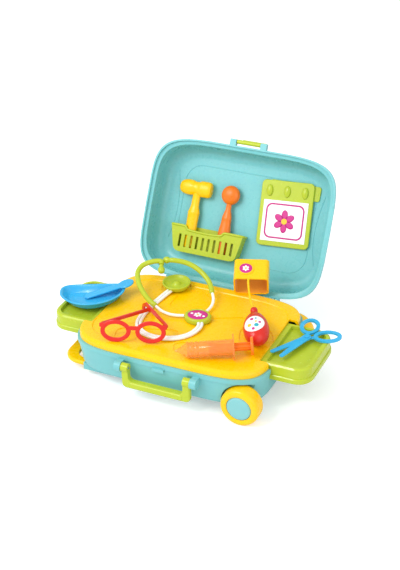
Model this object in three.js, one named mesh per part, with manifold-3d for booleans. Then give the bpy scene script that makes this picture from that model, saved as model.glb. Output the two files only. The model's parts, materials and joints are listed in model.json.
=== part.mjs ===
// Toy doctor case, open on its wheels, with its instruments laid out.
// Millimetres, +Z up. While it is built, z = 0 is the rim of the base, x = 0 and y = 0 are the
// middle of the case, and the carry handle is at -Y. The last lines stand it on the floor.

import * as THREE from 'three';
import { mergeVertices } from 'three/addons/utils/BufferGeometryUtils.js';
import Module from 'manifold-3d';

const wasm = await Module();
wasm.setup();

// Driving dimensions

const seatGap = 0.3; // between faces that touch
const runGap = 0.5; // between pieces that slide or turn
const cutOver = 5; // how far a cutting solid runs past the face it cuts

const shell = {
  halfLength: 185, halfDepth: 133, wall: 3, cornerPower: 5.2, around: 56,
};
const base = {
  height: 57, draft: 6, fillet: 9, lipHeight: 8, lipProud: 1.2, ledge: 7, ledgeThick: 3,
};
const tray = {
  skirtInset: 3.6, skirtWall: 2.8, top: 13, shoulder: 5, border: 22, floorDrop: 1.6, plate: 2.7,
  pocketDepth: 1.2, notchInset: 23, notchGap: 0.8, drawnDepth: 133,
};
const lid = {
  rimHeight: 8.6, depth: 56.5, bandHeight: 7.7, bandStep: 6, shelf: 4.7, shelfInset: 9,
  wallInset: 8, filletOut: 24, draft: 1.5, openAngle: 118.3, stepRise: 0.8,
  notchHalf: 52, notchHeight: 4.1, notchDepth: 16,
};
const hinge = {
  axisOut: 1.5, axisUp: 4.3, knuckle: 4, pin: 1.6, from: 63, pitch: 6.5, fins: 8, fin: 5,
  reach: 3.5, root: 7, tabDown: 12, tabUp: 11, shoulderWidth: 16, shoulderHeight: 13,
};
const wheel = {
  fromEnd: 33, up: 10, radius: 35.5, width: 30, faceOut: 6, hub: 23, hubProud: 1.2, archGap: 3,
  crown: 5, axle: 3, well: 2.6, sides: 32,
};
const drawer = {
  halfWidth: 70.5, top: 8, bottom: -22, length: 118, travel: 65, cornerOut: 28, cornerIn: 3,
  bandHeight: 10, bandProud: 2, wall: 2.5, rim: 9, recess: 7, edge: 2.5, rail: 5, railFrom: 55,
};
const trolley = {
  grip: 22, armWidth: 14, thick: 8.4, fromSide: 39, proud: 31, corner: 34, armEnd: -20,
  wall: 3, channelInset: 19, channelTo: -12, drop: 3,
};
const foot = { fromEnd: 50, fromSide: 64, length: 30, width: 14, edge: 3 };
const carry = {
  armX: 59, armWidth: 13, armThick: 10, pivotZ: -14, standOff: 11, drop: 40, grip: 15, gripThick: 12,
  eye: 8, pin: 2.5, boss: 9.5, bossWidth: 12, bossGap: 0.5, corner: 9,
};
const catchBar = { halfWidth: 11, top: -7, bottom: -13.5, proud: 3.3 };
const latch = {
  halfWidth: 24, lugWidth: 12, lugDown: 3, pivotOut: 7.5, pivotUp: 14, barrel: 4,
  pin: 1.5, plate: 3, plateGap: 1, length: 31, hook: 2, hookHeight: 3,
};

// Places that follow from them

const wheelX = shell.halfLength - wheel.fromEnd;
const wheelZ = wheel.up - base.height;
const floorZ = wheelZ - wheel.radius * Math.cos(Math.PI / wheel.sides); // under the lowest flat of the tread
const drawerOut = shell.halfLength + drawer.travel;
const notchFrom = shell.halfLength - tray.notchInset;
const armY = shell.halfDepth - trolley.fromSide;
const lengthShare = (share) => share * shell.halfLength;
const depthShare = (share) => share * shell.halfDepth;

// Small helpers

const AXES = { x: new THREE.Vector3(1, 0, 0), y: new THREE.Vector3(0, 1, 0), z: new THREE.Vector3(0, 0, 1) };
const radians = THREE.MathUtils.degToRad;

function solidOf(geometry) {
  const bare = geometry.clone();
  for (const name of Object.keys(bare.attributes)) if (name !== 'position') bare.deleteAttribute(name);
  const merged = mergeVertices(bare, 1e-4);
  return new wasm.Manifold(new wasm.Mesh({
    numProp: 3,
    vertProperties: new Float32Array(merged.attributes.position.array),
    triVerts: new Uint32Array(merged.index.array),
  }));
}

function geometryOf(solid) {
  const mesh = solid.getMesh();
  const geometry = new THREE.BufferGeometry();
  geometry.setAttribute('position', new THREE.BufferAttribute(new Float32Array(mesh.vertProperties), 3));
  geometry.setIndex(new THREE.BufferAttribute(new Uint32Array(mesh.triVerts), 1));
  geometry.computeVertexNormals();
  return geometry;
}

function join(...pieces) {
  return geometryOf(pieces.map(solidOf).reduce((sum, piece) => sum.add(piece)));
}

function cut(piece, ...cutters) {
  return geometryOf(cutters.map(solidOf).reduce((rest, cutter) => rest.subtract(cutter), solidOf(piece)));
}

function overlap(piece, other) {
  return geometryOf(solidOf(piece).intersect(solidOf(other)));
}

// A block between two corners.
function block(x0, x1, y0, y1, z0, z1) {
  const box = new THREE.BoxGeometry(x1 - x0, y1 - y0, z1 - z0);
  return box.translate((x0 + x1) / 2, (y0 + y1) / 2, (z0 + z1) / 2);
}

// A round bar along one axis, from one coordinate to another, at the other two coordinates.
function bar(axis, radius, from, to, first, second, sides = 24) {
  const round = new THREE.CylinderGeometry(radius, radius, to - from, sides);
  const middle = (from + to) / 2;
  if (axis === 'x') return round.rotateZ(Math.PI / 2).translate(middle, first, second);
  if (axis === 'y') return round.translate(first, middle, second);
  return round.rotateX(Math.PI / 2).translate(first, second, middle);
}

// A body turned round the Z axis from [radius, height] pairs, which start and end on the axis.
function turned(profile, sides = 24) {
  const points = profile.map(([radius, height]) => new THREE.Vector2(radius, height));
  return new THREE.LatheGeometry(points, sides).rotateX(Math.PI / 2);
}

// A flat outline made thick, from z = 0 up, with its edges rounded by `edge` where that is not 0.
function slab(shape, thick, edge = 0, curve = 3) {
  return new THREE.ExtrudeGeometry(shape, {
    depth: thick - 2 * edge, bevelEnabled: edge > 0, bevelThickness: edge, bevelSize: edge,
    bevelOffset: -edge, bevelSegments: 1, curveSegments: curve,
  }).translate(0, 0, edge);
}

// A rectangle whose corners are rounded one by one: [x0, y0], [x1, y0], [x1, y1], [x0, y1].
function roundedBox(x0, x1, y0, y1, r00, r10 = r00, r11 = r00, r01 = r00) {
  const shape = new THREE.Shape();
  shape.moveTo(x0 + r00, y0);
  shape.lineTo(x1 - r10, y0);
  shape.absarc(x1 - r10, y0 + r10, r10, -Math.PI / 2, 0);
  shape.lineTo(x1, y1 - r11);
  shape.absarc(x1 - r11, y1 - r11, r11, 0, Math.PI / 2);
  shape.lineTo(x0 + r01, y1);
  shape.absarc(x0 + r01, y1 - r01, r01, Math.PI / 2, Math.PI);
  shape.lineTo(x0, y0 + r00);
  shape.absarc(x0 + r00, y0 + r00, r00, Math.PI, 1.5 * Math.PI);
  return shape;
}

function ellipse(x, y, rx, ry) {
  const shape = new THREE.Shape();
  shape.absellipse(x, y, rx, ry, 0, 2 * Math.PI, false, 0);
  return shape;
}

// One closed body through rings of equal count, from the first ring's cap to the last ring's cap.
function loft(rings) {
  const count = rings[0].length;
  const positions = rings.flat().flatMap((p) => [p.x, p.y, p.z]);
  const faces = [];
  for (let level = 0; level + 1 < rings.length; level += 1) {
    for (let i = 0; i < count; i += 1) {
      const a = level * count + i;
      const b = level * count + ((i + 1) % count);
      faces.push(a, b, b + count, a, b + count, a + count);
    }
  }
  const cap = (ring, offset, up) => {
    const flat = ring.map((p) => new THREE.Vector2(p.x, p.y));
    for (const [a, b, c] of THREE.ShapeUtils.triangulateShape(flat, [])) {
      faces.push(...(up ? [a, b, c] : [a, c, b]).map((k) => k + offset));
    }
  };
  cap(rings[0], 0, false);
  cap(rings.at(-1), (rings.length - 1) * count, true);
  const geometry = new THREE.BufferGeometry();
  geometry.setAttribute('position', new THREE.Float32BufferAttribute(positions, 3));
  geometry.setIndex(faces);
  geometry.computeVertexNormals();
  return geometry;
}

// The case's outline, drawn in by `inset`, at height z: a rounded oblong with slightly bowed sides.
function outline(inset, z) {
  return Array.from({ length: shell.around }, (_, i) => {
    const turn = (2 * Math.PI * i) / shell.around;
    const bow = (value) => Math.sign(value) * Math.abs(value) ** (2 / shell.cornerPower);
    return new THREE.Vector3(
      (shell.halfLength - inset) * bow(Math.cos(turn)),
      (shell.halfDepth - inset) * bow(Math.sin(turn)),
      z,
    );
  });
}

// A round tube along hand-placed points.
function tube(points, radius, sides, steps) {
  const path = new THREE.CatmullRomCurve3(points.map((p) => new THREE.Vector3(...p)), false, 'centripetal');
  const section = new THREE.Shape(Array.from({ length: sides }, (_, i) => new THREE.Vector2(
    radius * Math.cos((2 * Math.PI * i) / sides), radius * Math.sin((2 * Math.PI * i) / sides))));
  return new THREE.ExtrudeGeometry(section, { steps, bevelEnabled: false, extrudePath: path });
}

// Colours and finishes

const plastic = (color, roughness = 0.35) => new THREE.MeshStandardMaterial({ color, roughness });
const finish = {
  turquoise: plastic(0x7fd0d0), yellow: plastic(0xffd100), lime: plastic(0xb9d432), blue: plastic(0x55b9e6),
  red: plastic(0xe3342a), orange: plastic(0xf58a2c), white: plastic(0xf4f4f0), card: plastic(0xfafafa, 0.6),
  clear: new THREE.MeshStandardMaterial({ color: 0xf68a2e, roughness: 0.2, transparent: true, opacity: 0.6 }),
  steel: new THREE.MeshStandardMaterial({ color: 0xb8bcc0, roughness: 0.3, metalness: 1 }),
};

const doctorCase = new THREE.Group();
const open = new THREE.Group(); // everything that the open lid carries, built as if it were shut
open.position.set(0, shell.halfDepth + hinge.axisOut, hinge.axisUp);
open.rotation.x = -radians(lid.openAngle);
const shut = new THREE.Group();
shut.position.copy(open.position).negate();
open.add(shut);
doctorCase.add(open);
const layout = new THREE.Group(); // what lies on the tray keeps its distance from the back wall
layout.position.y = shell.halfDepth - tray.drawnDepth;
doctorCase.add(layout);

function place(name, geometry, material, parent = doctorCase) {
  const mesh = new THREE.Mesh(geometry, material);
  mesh.name = name;
  parent.add(mesh);
  return mesh;
}

// Hinge: fins on both shells take turns along one pin at each end of the back

const hingeY = shell.halfDepth + hinge.axisOut;
const hingeEnd = hinge.from + hinge.pitch * hinge.fins;

function hingeFins(side, first, rootLow, rootHigh) {
  const fins = [];
  for (let i = first; i < hinge.fins; i += 2) {
    const near = hinge.from + i * hinge.pitch + (hinge.pitch - hinge.fin) / 2;
    const [x0, x1] = side > 0 ? [near, near + hinge.fin] : [-near - hinge.fin, -near];
    const [low, high] = [Math.min(rootLow, hinge.axisUp), Math.max(rootHigh, hinge.axisUp)];
    fins.push(bar('x', hinge.knuckle, x0, x1, hingeY, hinge.axisUp, 12));
    fins.push(block(x0, x1, hingeY - hinge.knuckle, hingeY + hinge.reach, low, high));
    fins.push(block(x0, x1, shell.halfDepth - hinge.root, hingeY + hinge.reach, rootLow, rootHigh));
  }
  return fins;
}

function hingeHole(side) {
  const [x0, x1] = side > 0 ? [hinge.from, hingeEnd] : [-hingeEnd, -hinge.from];
  return bar('x', hinge.pin + seatGap, x0 - cutOver, x1 + cutOver, hingeY, hinge.axisUp, 10);
}

// Base

function baseShell() {
  const { height, draft, fillet, lipHeight, lipProud, ledge, ledgeThick } = base;
  const eighth = Math.SQRT1_2;
  const outer = [
    outline(draft + fillet, -height),
    outline(draft + fillet * (1 - eighth), -height + fillet * (1 - eighth)),
    outline(draft, -height + fillet),
    outline(lipProud, -lipHeight),
    outline(0, -lipHeight),
    outline(0, 0),
  ];
  const wall = shell.wall;
  const hollow = loft([
    outline(draft + fillet, -height + wall),
    outline(draft + wall, -height + fillet),
    outline(lipProud + wall, -ledgeThick - (ledge - lipProud - wall)),
    outline(ledge, -ledgeThick),
    outline(ledge, cutOver),
  ]);
  const full = loft(outer);

  const outside = [];
  const additions = [];
  const cutters = [];
  for (const side of [-1, 1]) {
    // wheel well, open to the outside round the tyre
    const face = side * (shell.halfDepth + wheel.faceOut);
    const back = side * (shell.halfDepth + wheel.faceOut - wheel.width - wheel.archGap);
    const far = face + side * cutOver;
    const wellBack = back - side * wheel.well;
    const [w0, w1] = [Math.min(far, wellBack), Math.max(far, wellBack)];
    const [a0, a1] = [Math.min(far, back), Math.max(far, back)];
    const archRadius = wheel.radius + wheel.archGap;
    additions.push(overlap(bar('y', archRadius + wheel.well, w0, w1, wheelX, wheelZ, 40), full));
    cutters.push(bar('y', archRadius, a0, a1, wheelX, wheelZ, 40));

    // rails under the drawers, from the floor up
    for (const hand of [-1, 1]) {
      const railY = hand * (drawer.halfWidth - drawer.bandProud - drawer.rail / 2);
      const [x0, x1] = side > 0
        ? [drawer.railFrom, shell.halfLength - draft - wall]
        : [-(shell.halfLength - draft - wall), -drawer.railFrom];
      additions.push(overlap(block(x0, x1, railY - drawer.rail / 2, railY + drawer.rail / 2,
        -height + wall / 2, drawer.bottom - seatGap), full));
    }

    // mouth for the drawer in the end wall
    const mouth = drawer.halfWidth + runGap;
    const inside = shell.halfLength - draft - fillet - ledge;
    const [m0, m1] = side > 0
      ? [inside, shell.halfLength + cutOver] : [-shell.halfLength - cutOver, -inside];
    cutters.push(block(m0, m1, -mouth, mouth, drawer.bottom - seatGap, cutOver));

    // boss that holds the carry handle's pin, on a foot that meets the wall
    const bossIn = carry.armX + carry.armWidth / 2 + carry.bossGap;
    const [b0, b1] = side > 0 ? [bossIn, bossIn + carry.bossWidth] : [-bossIn - carry.bossWidth, -bossIn];
    const pivotY = -(shell.halfDepth + carry.standOff - lipProud);
    outside.push(bar('x', carry.boss, b0, b1, pivotY, carry.pivotZ, 28));
    outside.push(block(b0, b1, pivotY, -(shell.halfDepth - lipProud - wall),
      carry.pivotZ - carry.boss + lipProud, carry.pivotZ + carry.boss - lipProud));
    const [h0, h1] = side > 0 ? [b0 - cutOver, b1 - wall] : [b0 + wall, b1 + cutOver];
    cutters.push(bar('x', carry.pin + seatGap, h0, h1, pivotY, carry.pivotZ, 16));

    // channel under the floor for one arm of the trolley handle
    const channelY = side * armY;
    const half = trolley.armWidth / 2 + runGap;
    const channelFrom = trolley.channelInset - shell.halfLength;
    const channelRoof = -height - trolley.thick - 2 * runGap;
    additions.push(block(channelFrom, trolley.channelTo, channelY - half - trolley.wall,
      channelY + half + trolley.wall, channelRoof - trolley.drop, -height + wall / 2));
    cutters.push(block(channelFrom - cutOver, trolley.channelTo + cutOver, channelY - half,
      channelY + half, channelRoof, -height));

    outside.push(...hingeFins(side, 0, hinge.axisUp - hinge.tabDown, 0));
    cutters.push(hingeHole(side));
    const [s0, s1] = side > 0
      ? [hingeEnd, hingeEnd + hinge.shoulderWidth] : [-hingeEnd - hinge.shoulderWidth, -hingeEnd];
    outside.push(block(s0, s1, shell.halfDepth - hinge.root - wall, hingeY + hinge.reach,
      -hinge.shoulderHeight, 0));
  }
  cutters.push(bar('y', wheel.axle + seatGap, -shell.halfDepth, shell.halfDepth, wheelX, wheelZ, 16));
  outside.push(block(-catchBar.halfWidth, catchBar.halfWidth, -shell.halfDepth - catchBar.proud,
    -shell.halfDepth + wall, catchBar.bottom, catchBar.top));
  return cut(join(cut(join(full, ...outside), hollow), ...additions), ...cutters);
}
place('base_shell', baseShell(), finish.turquoise);

for (const [name, side] of [['hinge_pin_left', -1], ['hinge_pin_right', 1]]) {
  const near = hinge.from + runGap;
  const [x0, x1] = side > 0 ? [near, hingeEnd - runGap] : [-hingeEnd + runGap, -near];
  place(name, bar('x', hinge.pin, x0, x1, hingeY, hinge.axisUp, 12), finish.steel);
}

for (const [name, side] of [['foot_front', -1], ['foot_back', 1]]) {
  const stub = slab(roundedBox(-foot.length / 2, foot.length / 2, -foot.width / 2, foot.width / 2, foot.edge),
    -base.height - seatGap - floorZ);
  const footY = side * (shell.halfDepth - foot.fromSide);
  place(name, stub.translate(foot.fromEnd - shell.halfLength, footY, floorZ), finish.turquoise);
}

// Instrument tray, dropped into the base

function instrumentTray() {
  const { skirtInset, skirtWall, top, shoulder, border, floorDrop, plate } = tray;
  const eighth = Math.SQRT1_2;
  const under = top - plate - floorDrop;
  const rings = [
    outline(border + plate, under),
    outline(skirtInset + skirtWall + shoulder, under),
    outline(skirtInset + skirtWall, under - shoulder),
    outline(skirtInset + skirtWall, seatGap),
    outline(skirtInset, seatGap),
    outline(skirtInset, top - shoulder),
    outline(skirtInset + shoulder * (1 - eighth), top - shoulder * (1 - eighth)),
    outline(skirtInset + shoulder, top),
    outline(border, top),
    outline(border + floorDrop, top - floorDrop),
  ];
  const pocketZ = top - floorDrop - tray.pocketDepth;
  const { chest } = rest;
  const sunk = (shape, x, y, heading, curve) => slab(shape, 2 * cutOver, 0, curve).rotateZ(radians(heading))
    .translate(x, y + layout.position.y, pocketZ);
  const pockets = [
    sunk(ellipse(0, 0, chest.pocket, chest.pocket), chest.x, chest.y, 0, 14),
    sunk(ellipse(0, 0, rest.bulb.pocketLong, rest.bulb.pocketWide), rest.bulb.x, rest.bulb.y,
      bulb.heading, 12),
    ...hollows.map(({ long, wide, corner, x, y, heading }) => sunk(
      roundedBox(-long / 2, long / 2, -wide / 2, wide / 2, corner), x, y, heading, 3)),
  ];
  const notches = [-1, 1].map((side) => {
    const edge = drawer.halfWidth + tray.notchGap;
    const [x0, x1] = side > 0 ? [notchFrom, shell.halfLength + cutOver]
      : [-shell.halfLength - cutOver, -notchFrom];
    return block(x0, x1, -edge, edge, -cutOver, top + cutOver);
  });
  return cut(loft(rings), ...notches, ...pockets);
}

// Where the loose instruments lie on the tray, the drawers and the dish

const trayFloor = tray.top - tray.floorDrop;
const rest = {
  chest: { x: -73, y: 95.5, rim: 26.5, foot: 14, height: 14.8, pocket: 28 },
  bulb: { x: 130, y: -7, radius: 23, flat: 0.88, length: 40, pocketLong: 50, pocketWide: 30 },
};
const bulb = { neck: 6.4, tilt: 7, heading: 117, knob: 6.6, knobLong: 14, lift: 1 };
const hollows = [ // shallow beds in the tray's floor, with ridges left between them
  { long: 112, wide: 44, corner: 14, x: -52, y: -72, heading: 18.5 },
  { long: 112, wide: 34, corner: 12, x: 60, y: -66, heading: 25 },
  { long: 60, wide: 74, corner: 20, x: -30, y: 62, heading: 0 },
  { long: 74, wide: 30, corner: 12, x: 62, y: 22, heading: 25 },
];
place('instrument_tray', instrumentTray(), finish.yellow);

// Lid

function lidShell() {
  const { rimHeight, depth, bandHeight, bandStep, shelf, shelfInset, wallInset, filletOut, draft,
    stepRise } = lid;
  const wall = shell.wall;
  const at = (inset, up) => outline(inset, rimHeight + up);
  const arc = (radius, steps) => Array.from({ length: steps + 1 }, (_, i) => {
    const turn = (Math.PI / 2) * (i / steps);
    return at(wallInset + filletOut - radius * Math.cos(turn), depth - filletOut + radius * Math.sin(turn));
  });
  const hollow = loft([
    at(wall, -cutOver),
    at(wall, shelf),
    at(shelfInset, shelf + stepRise),
    at(shelfInset + stepRise, shelf + 2 * stepRise),
    ...arc(filletOut - wall, 4),
  ]);
  const outer = loft([
    at(0, 0),
    at(0, bandHeight),
    at(bandStep, bandHeight + stepRise),
    at(bandStep + stepRise - draft / 2, bandHeight + 2 * stepRise),
    ...arc(filletOut, 4),
  ]);
  const additions = [];
  for (const side of [-1, 1]) {
    additions.push(...hingeFins(side, 1, rimHeight, hinge.axisUp + hinge.tabUp));
    const lugIn = latch.halfWidth + runGap;
    const [x0, x1] = side > 0 ? [lugIn, lugIn + latch.lugWidth] : [-lugIn - latch.lugWidth, -lugIn];
    const lugOut = -shell.halfDepth - latch.pivotOut - latch.barrel;
    additions.push(block(x0, x1, lugOut, -shell.halfDepth + wall / 2, rimHeight - latch.lugDown + wall,
      latch.pivotUp + latch.barrel));
  }
  const notch = block(shell.halfLength - lid.notchDepth, shell.halfLength + cutOver,
    -lid.notchHalf, lid.notchHalf, rimHeight - cutOver, rimHeight + lid.notchHeight);
  const pinHole = bar('x', latch.pin + seatGap, -shell.halfLength, shell.halfLength,
    -shell.halfDepth - latch.pivotOut, latch.pivotUp, 12);
  return cut(join(outer, ...additions), hollow, hingeHole(-1), hingeHole(1), notch, pinHole);
}
place('lid_shell', lidShell(), finish.turquoise, shut);

// Latch on the lid: it hooks under the catch on the base when it is swung down

const latchY = -shell.halfDepth - latch.pivotOut;
function lidLatch() {
  const { halfWidth, barrel, plate, plateGap, length, hook, hookHeight, pin, pivotUp } = latch;
  const outerFace = latchY - barrel;
  const body = join(
    bar('x', barrel, -halfWidth, halfWidth, latchY, pivotUp, 20),
    block(-halfWidth, halfWidth, outerFace, outerFace + plate, pivotUp, pivotUp + length),
    block(-halfWidth, halfWidth, outerFace - hook, outerFace + plateGap, pivotUp + length - hookHeight,
      pivotUp + length),
  );
  return cut(body, bar('x', pin + seatGap, -halfWidth - cutOver, halfWidth + cutOver, latchY, pivotUp, 12));
}
place('lid_latch', lidLatch(), finish.lime, shut);
const latchPinEnd = latch.halfWidth + runGap + latch.lugWidth - seatGap;
place('latch_pin', bar('x', latch.pin, -latchPinEnd, latchPinEnd, latchY, latch.pivotUp, 10),
  finish.steel, shut);

// Carry handle and its pins

const carryY = -(shell.halfDepth + carry.standOff - base.lipProud);
function carryHandle() {
  const { armX, armWidth, armThick, pivotZ, drop, grip, gripThick, eye, corner } = carry;
  const outerX = armX + armWidth / 2;
  const innerX = armX - armWidth / 2;
  const low = pivotZ - drop;
  const frame = roundedBox(-outerX, outerX, low, pivotZ, corner, corner, armWidth / 3, armWidth / 3);
  const gap = new THREE.Path(roundedBox(-innerX, innerX, low + grip, pivotZ + cutOver, corner).getPoints(4));
  const bow = slab(frame, armThick, armThick / 5);
  const window = slab(new THREE.Shape(gap.getPoints()), armThick + 2 * cutOver).translate(0, 0, -cutOver);
  const upright = cut(bow, window).rotateX(Math.PI / 2).translate(0, carryY + armThick / 2, 0);
  const thickGrip = slab(roundedBox(-innerX, innerX, low, low + grip, grip / 3), gripThick, gripThick / 4)
    .rotateX(Math.PI / 2).translate(0, carryY + gripThick / 2, 0);
  const eyes = [-1, 1].map((side) => bar('x', eye, Math.min(side * innerX, side * outerX),
    Math.max(side * innerX, side * outerX), carryY, pivotZ, 24));
  const hole = bar('x', carry.pin + seatGap, -outerX - cutOver, outerX + cutOver, carryY, pivotZ, 16);
  return cut(join(upright, thickGrip, ...eyes), hole);
}
place('carry_handle', carryHandle(), finish.lime);
for (const [name, side] of [['handle_pin_left', -1], ['handle_pin_right', 1]]) {
  const start = carry.armX - carry.armWidth / 2;
  const end = carry.armX + carry.armWidth / 2 + carry.bossGap + carry.bossWidth - shell.wall - seatGap;
  const [x0, x1] = side > 0 ? [start, end] : [-end, -start];
  place(name, bar('x', carry.pin, x0, x1, carryY, carry.pivotZ, 12), finish.steel);
}

// Side drawers, shown pulled out

function sideDrawer(side) {
  const { halfWidth, top, bottom, length, cornerOut, cornerIn, bandHeight, bandProud, wall, rim, recess,
    edge } = drawer;
  const out = drawerOut;
  const inX = out - length;
  const form = (grow, extra) => roundedBox(inX - grow, out + grow, -halfWidth + bandProud - grow,
    halfWidth - bandProud + grow, cornerIn, cornerOut + grow + extra, cornerOut + grow + extra, cornerIn);
  const body = slab(form(-bandProud / 2, 0), top - bottom, edge).translate(0, 0, bottom);
  const band = slab(form(bandProud / 2, 0), bandHeight, edge / 2).translate(0, 0, bottom);
  const well = roundedBox(notchFrom + rim, out - rim, -halfWidth + rim + bandProud,
    halfWidth - rim - bandProud, cornerIn, cornerOut - rim, cornerOut - rim, cornerIn);
  const pocket = slab(well, recess + cutOver).translate(0, 0, top - recess);
  const under = roundedBox(inX + wall, out - wall * 2, -halfWidth + bandProud + wall * 2,
    halfWidth - bandProud - wall * 2, cornerIn, cornerOut - wall, cornerOut - wall, cornerIn);
  const hollow = slab(under, top - bottom - recess - wall + cutOver).translate(0, 0, bottom - cutOver);
  const made = cut(join(body, band), pocket, hollow);
  return side > 0 ? made : made.rotateZ(Math.PI);
}
place('side_drawer_right', sideDrawer(1), finish.lime);
place('side_drawer_left', sideDrawer(-1), finish.lime);

// Trolley handle: a flat loop whose arms run in the channels under the floor

function trolleyHandle() {
  const { grip, armWidth, thick, proud, corner, armEnd } = trolley;
  const reach = shell.halfLength + proud;
  const half = armY + armWidth / 2;
  const outer = roundedBox(-reach, armEnd, -half, half, corner, armWidth / 4, armWidth / 4, corner);
  const inner = roundedBox(-reach + grip, armEnd + cutOver, -half + armWidth, half - armWidth,
    corner - grip / 2, armWidth / 4, armWidth / 4, corner - grip / 2);
  const loop = cut(slab(outer, thick, thick / 4), slab(inner, thick + 2 * cutOver).translate(0, 0, -cutOver));
  return loop.translate(0, 0, -base.height - runGap - thick);
}
place('trolley_handle', trolleyHandle(), finish.yellow);

// Wheels on one axle

for (const [name, side] of [['front', -1], ['back', 1]]) {
  const { radius, width, hub, hubProud, crown, axle, faceOut } = wheel;
  const tyreProfile = [[hub, 0], [radius - crown, 0], [radius - crown / 4, crown * 0.5],
    [radius, crown * 1.4], [radius, width - crown * 1.4], [radius - crown / 4, width - crown * 0.5],
    [radius - crown, width],
    [hub, width], [hub, 0]];
  const hubRadius = hub - seatGap;
  const hubProfile = [[0, -hubProud], [hubRadius - hubProud * 2, -hubProud], [hubRadius, hubProud],
    [hubRadius, width], [0, width]];
  const faceY = side * (shell.halfDepth + faceOut);
  const turnOut = side < 0 ? -Math.PI / 2 : Math.PI / 2;
  const onAxle = (geometry) => geometry.rotateX(turnOut).translate(wheelX, faceY, wheelZ);
  const flatDown = Math.PI / wheel.sides; // turns one flat of the tread to the floor
  place(`tyre_${name}`, onAxle(turned(tyreProfile, wheel.sides).rotateZ(flatDown)), finish.yellow);
  const bore = bar('z', axle + seatGap, width / 3, width + cutOver, 0, 0, 16);
  place(`hub_${name}`, onAxle(cut(turned(hubProfile, 24), bore)), finish.turquoise);
}
const axleEnd = shell.halfDepth + wheel.faceOut - wheel.width / 3 - seatGap;
place('wheel_axle', bar('y', wheel.axle, -axleEnd, axleEnd, wheelX, wheelZ, 16), finish.steel);

// Basket on the lid for the hammer and the probe

const ceiling = lid.rimHeight + lid.depth - shell.wall; // inner face of the shut lid
const basket = {
  left: lengthShare(-0.746), right: lengthShare(0.06), bottomLeft: lengthShare(-0.68),
  bottomRight: lengthShare(0.011), mouth: depthShare(0.248), base: depthShare(0.632), deep: 22, wall: 2.4,
  corner: 12, dipFromLeft: 32, dipFromRight: 41, dip: 7, slots: 10, slotInset: 10, slotWidth: 4.6,
  slotTop: 34, slotBottom: 10,
};
function basketShape(inset, mouth) {
  const b = basket;
  const shape = new THREE.Shape();
  const lean = (share) => [
    b.left + (b.bottomLeft - b.left) * share + inset, b.right + (b.bottomRight - b.right) * share - inset];
  const bend = (b.base - b.corner - b.mouth) / (b.base - b.mouth);
  const [leftTop, rightTop] = lean(0);
  const [leftBend, rightBend] = lean(bend);
  shape.moveTo(leftTop, mouth);
  shape.lineTo(rightTop, mouth);
  shape.lineTo(rightBend, b.base - b.corner);
  shape.quadraticCurveTo(b.bottomRight - inset, b.base - inset, b.bottomRight - b.corner, b.base - inset);
  shape.lineTo(b.bottomLeft + b.corner, b.base - inset);
  shape.quadraticCurveTo(b.bottomLeft + inset, b.base - inset, leftBend, b.base - b.corner);
  return shape;
}
function lidBasket() {
  const b = basket;
  const low = ceiling - seatGap - b.deep;
  const outer = slab(basketShape(0, b.mouth), b.deep, 0, 4).translate(0, 0, low);
  const inner = slab(basketShape(b.wall, b.mouth - cutOver), b.deep - 2 * b.wall, 0, 4)
    .translate(0, 0, low + b.wall);
  const dip = block(b.left + b.dipFromLeft, b.right - b.dipFromRight, b.mouth - cutOver, b.mouth + b.dip,
    low - cutOver, low + b.wall + cutOver);
  const pitch = (b.bottomRight - b.bottomLeft - 2 * b.slotInset) / (b.slots - 1);
  const slots = Array.from({ length: b.slots }, (_, i) => {
    const x = b.bottomLeft + b.slotInset + i * pitch;
    return block(x - b.slotWidth / 2, x + b.slotWidth / 2, b.base - b.slotTop, b.base - b.slotBottom,
      low - cutOver, low + b.wall + cutOver);
  });
  return cut(outer, inner, dip, ...slots);
}
place('lid_basket', lidBasket(), finish.lime, shut);

// Reflex hammer and round-headed probe, standing in the basket

const hammer = {
  x: lengthShare(-0.546), y: depthShare(-0.308), half: 33, radius: 16, flat: 0.66, shift: 4, neck: 8,
  neckIn: 5.6, neckLong: 27, grip: 12, gripFlat: 0.64, gripFrom: 41, gripMiddle: 65, footGap: 8, footRound: 4,
};
const probe = {
  x: lengthShare(-0.173), y: depthShare(-0.297), radius: 18.5, flat: 0.57, neck: 5.5, neckIn: 8.5,
  neckLong: 20, mid: 9, midLong: 12, grip: 12.5, gripFlat: 0.66, gripFrom: 66, footRound: 3,
};
const toolZ = ceiling - seatGap - basket.deep / 2;
const toolFoot = basket.base - hammer.footGap;
const headProfileShares = [[0, -1], [0.5, -0.96], [0.82, -0.75], [0.96, -0.35], [0.9, -0.1], [0.78, 0.08],
  [0.78, 0.2], [1, 0.36], [1, 0.78], [0.84, 1], [0, 1]];

// A handle along Y that is `squash` times as thick as it is wide.
function handleAlongY(profile, x, squash) {
  return turned(profile, 20).rotateX(-Math.PI / 2).scale(1, 1, squash).translate(x, 0, toolZ);
}

// The hole in a head that takes the neck of its handle.
function neckSocket(tool, neckTop) {
  return bar('y', tool.neck + seatGap, neckTop - seatGap, tool.y + tool.radius + cutOver, 0, 0, 20)
    .scale(1, 1, tool.gripFlat).translate(tool.x, 0, toolZ);
}

const hammerHead = turned(headProfileShares.map(([r, h]) => [r * hammer.radius, h * hammer.half]), 20)
  .rotateY(Math.PI / 2).scale(1, 1, hammer.flat).translate(hammer.x - hammer.shift, hammer.y, toolZ);
const hammerNeck = hammer.y + hammer.neckIn;
place('hammer_head', cut(hammerHead, neckSocket(hammer, hammerNeck)), finish.yellow, shut);
place('hammer_handle', handleAlongY([[0, hammerNeck], [hammer.neck, hammerNeck],
  [hammer.neck, hammerNeck + hammer.neckLong], [hammer.grip, hammerNeck + hammer.gripFrom],
  [hammer.grip * 0.94, hammerNeck + hammer.gripMiddle], [hammer.grip, toolFoot - hammer.footRound],
  [hammer.grip * 0.8, toolFoot], [0, toolFoot]], hammer.x, hammer.gripFlat), finish.yellow, shut);

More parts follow.
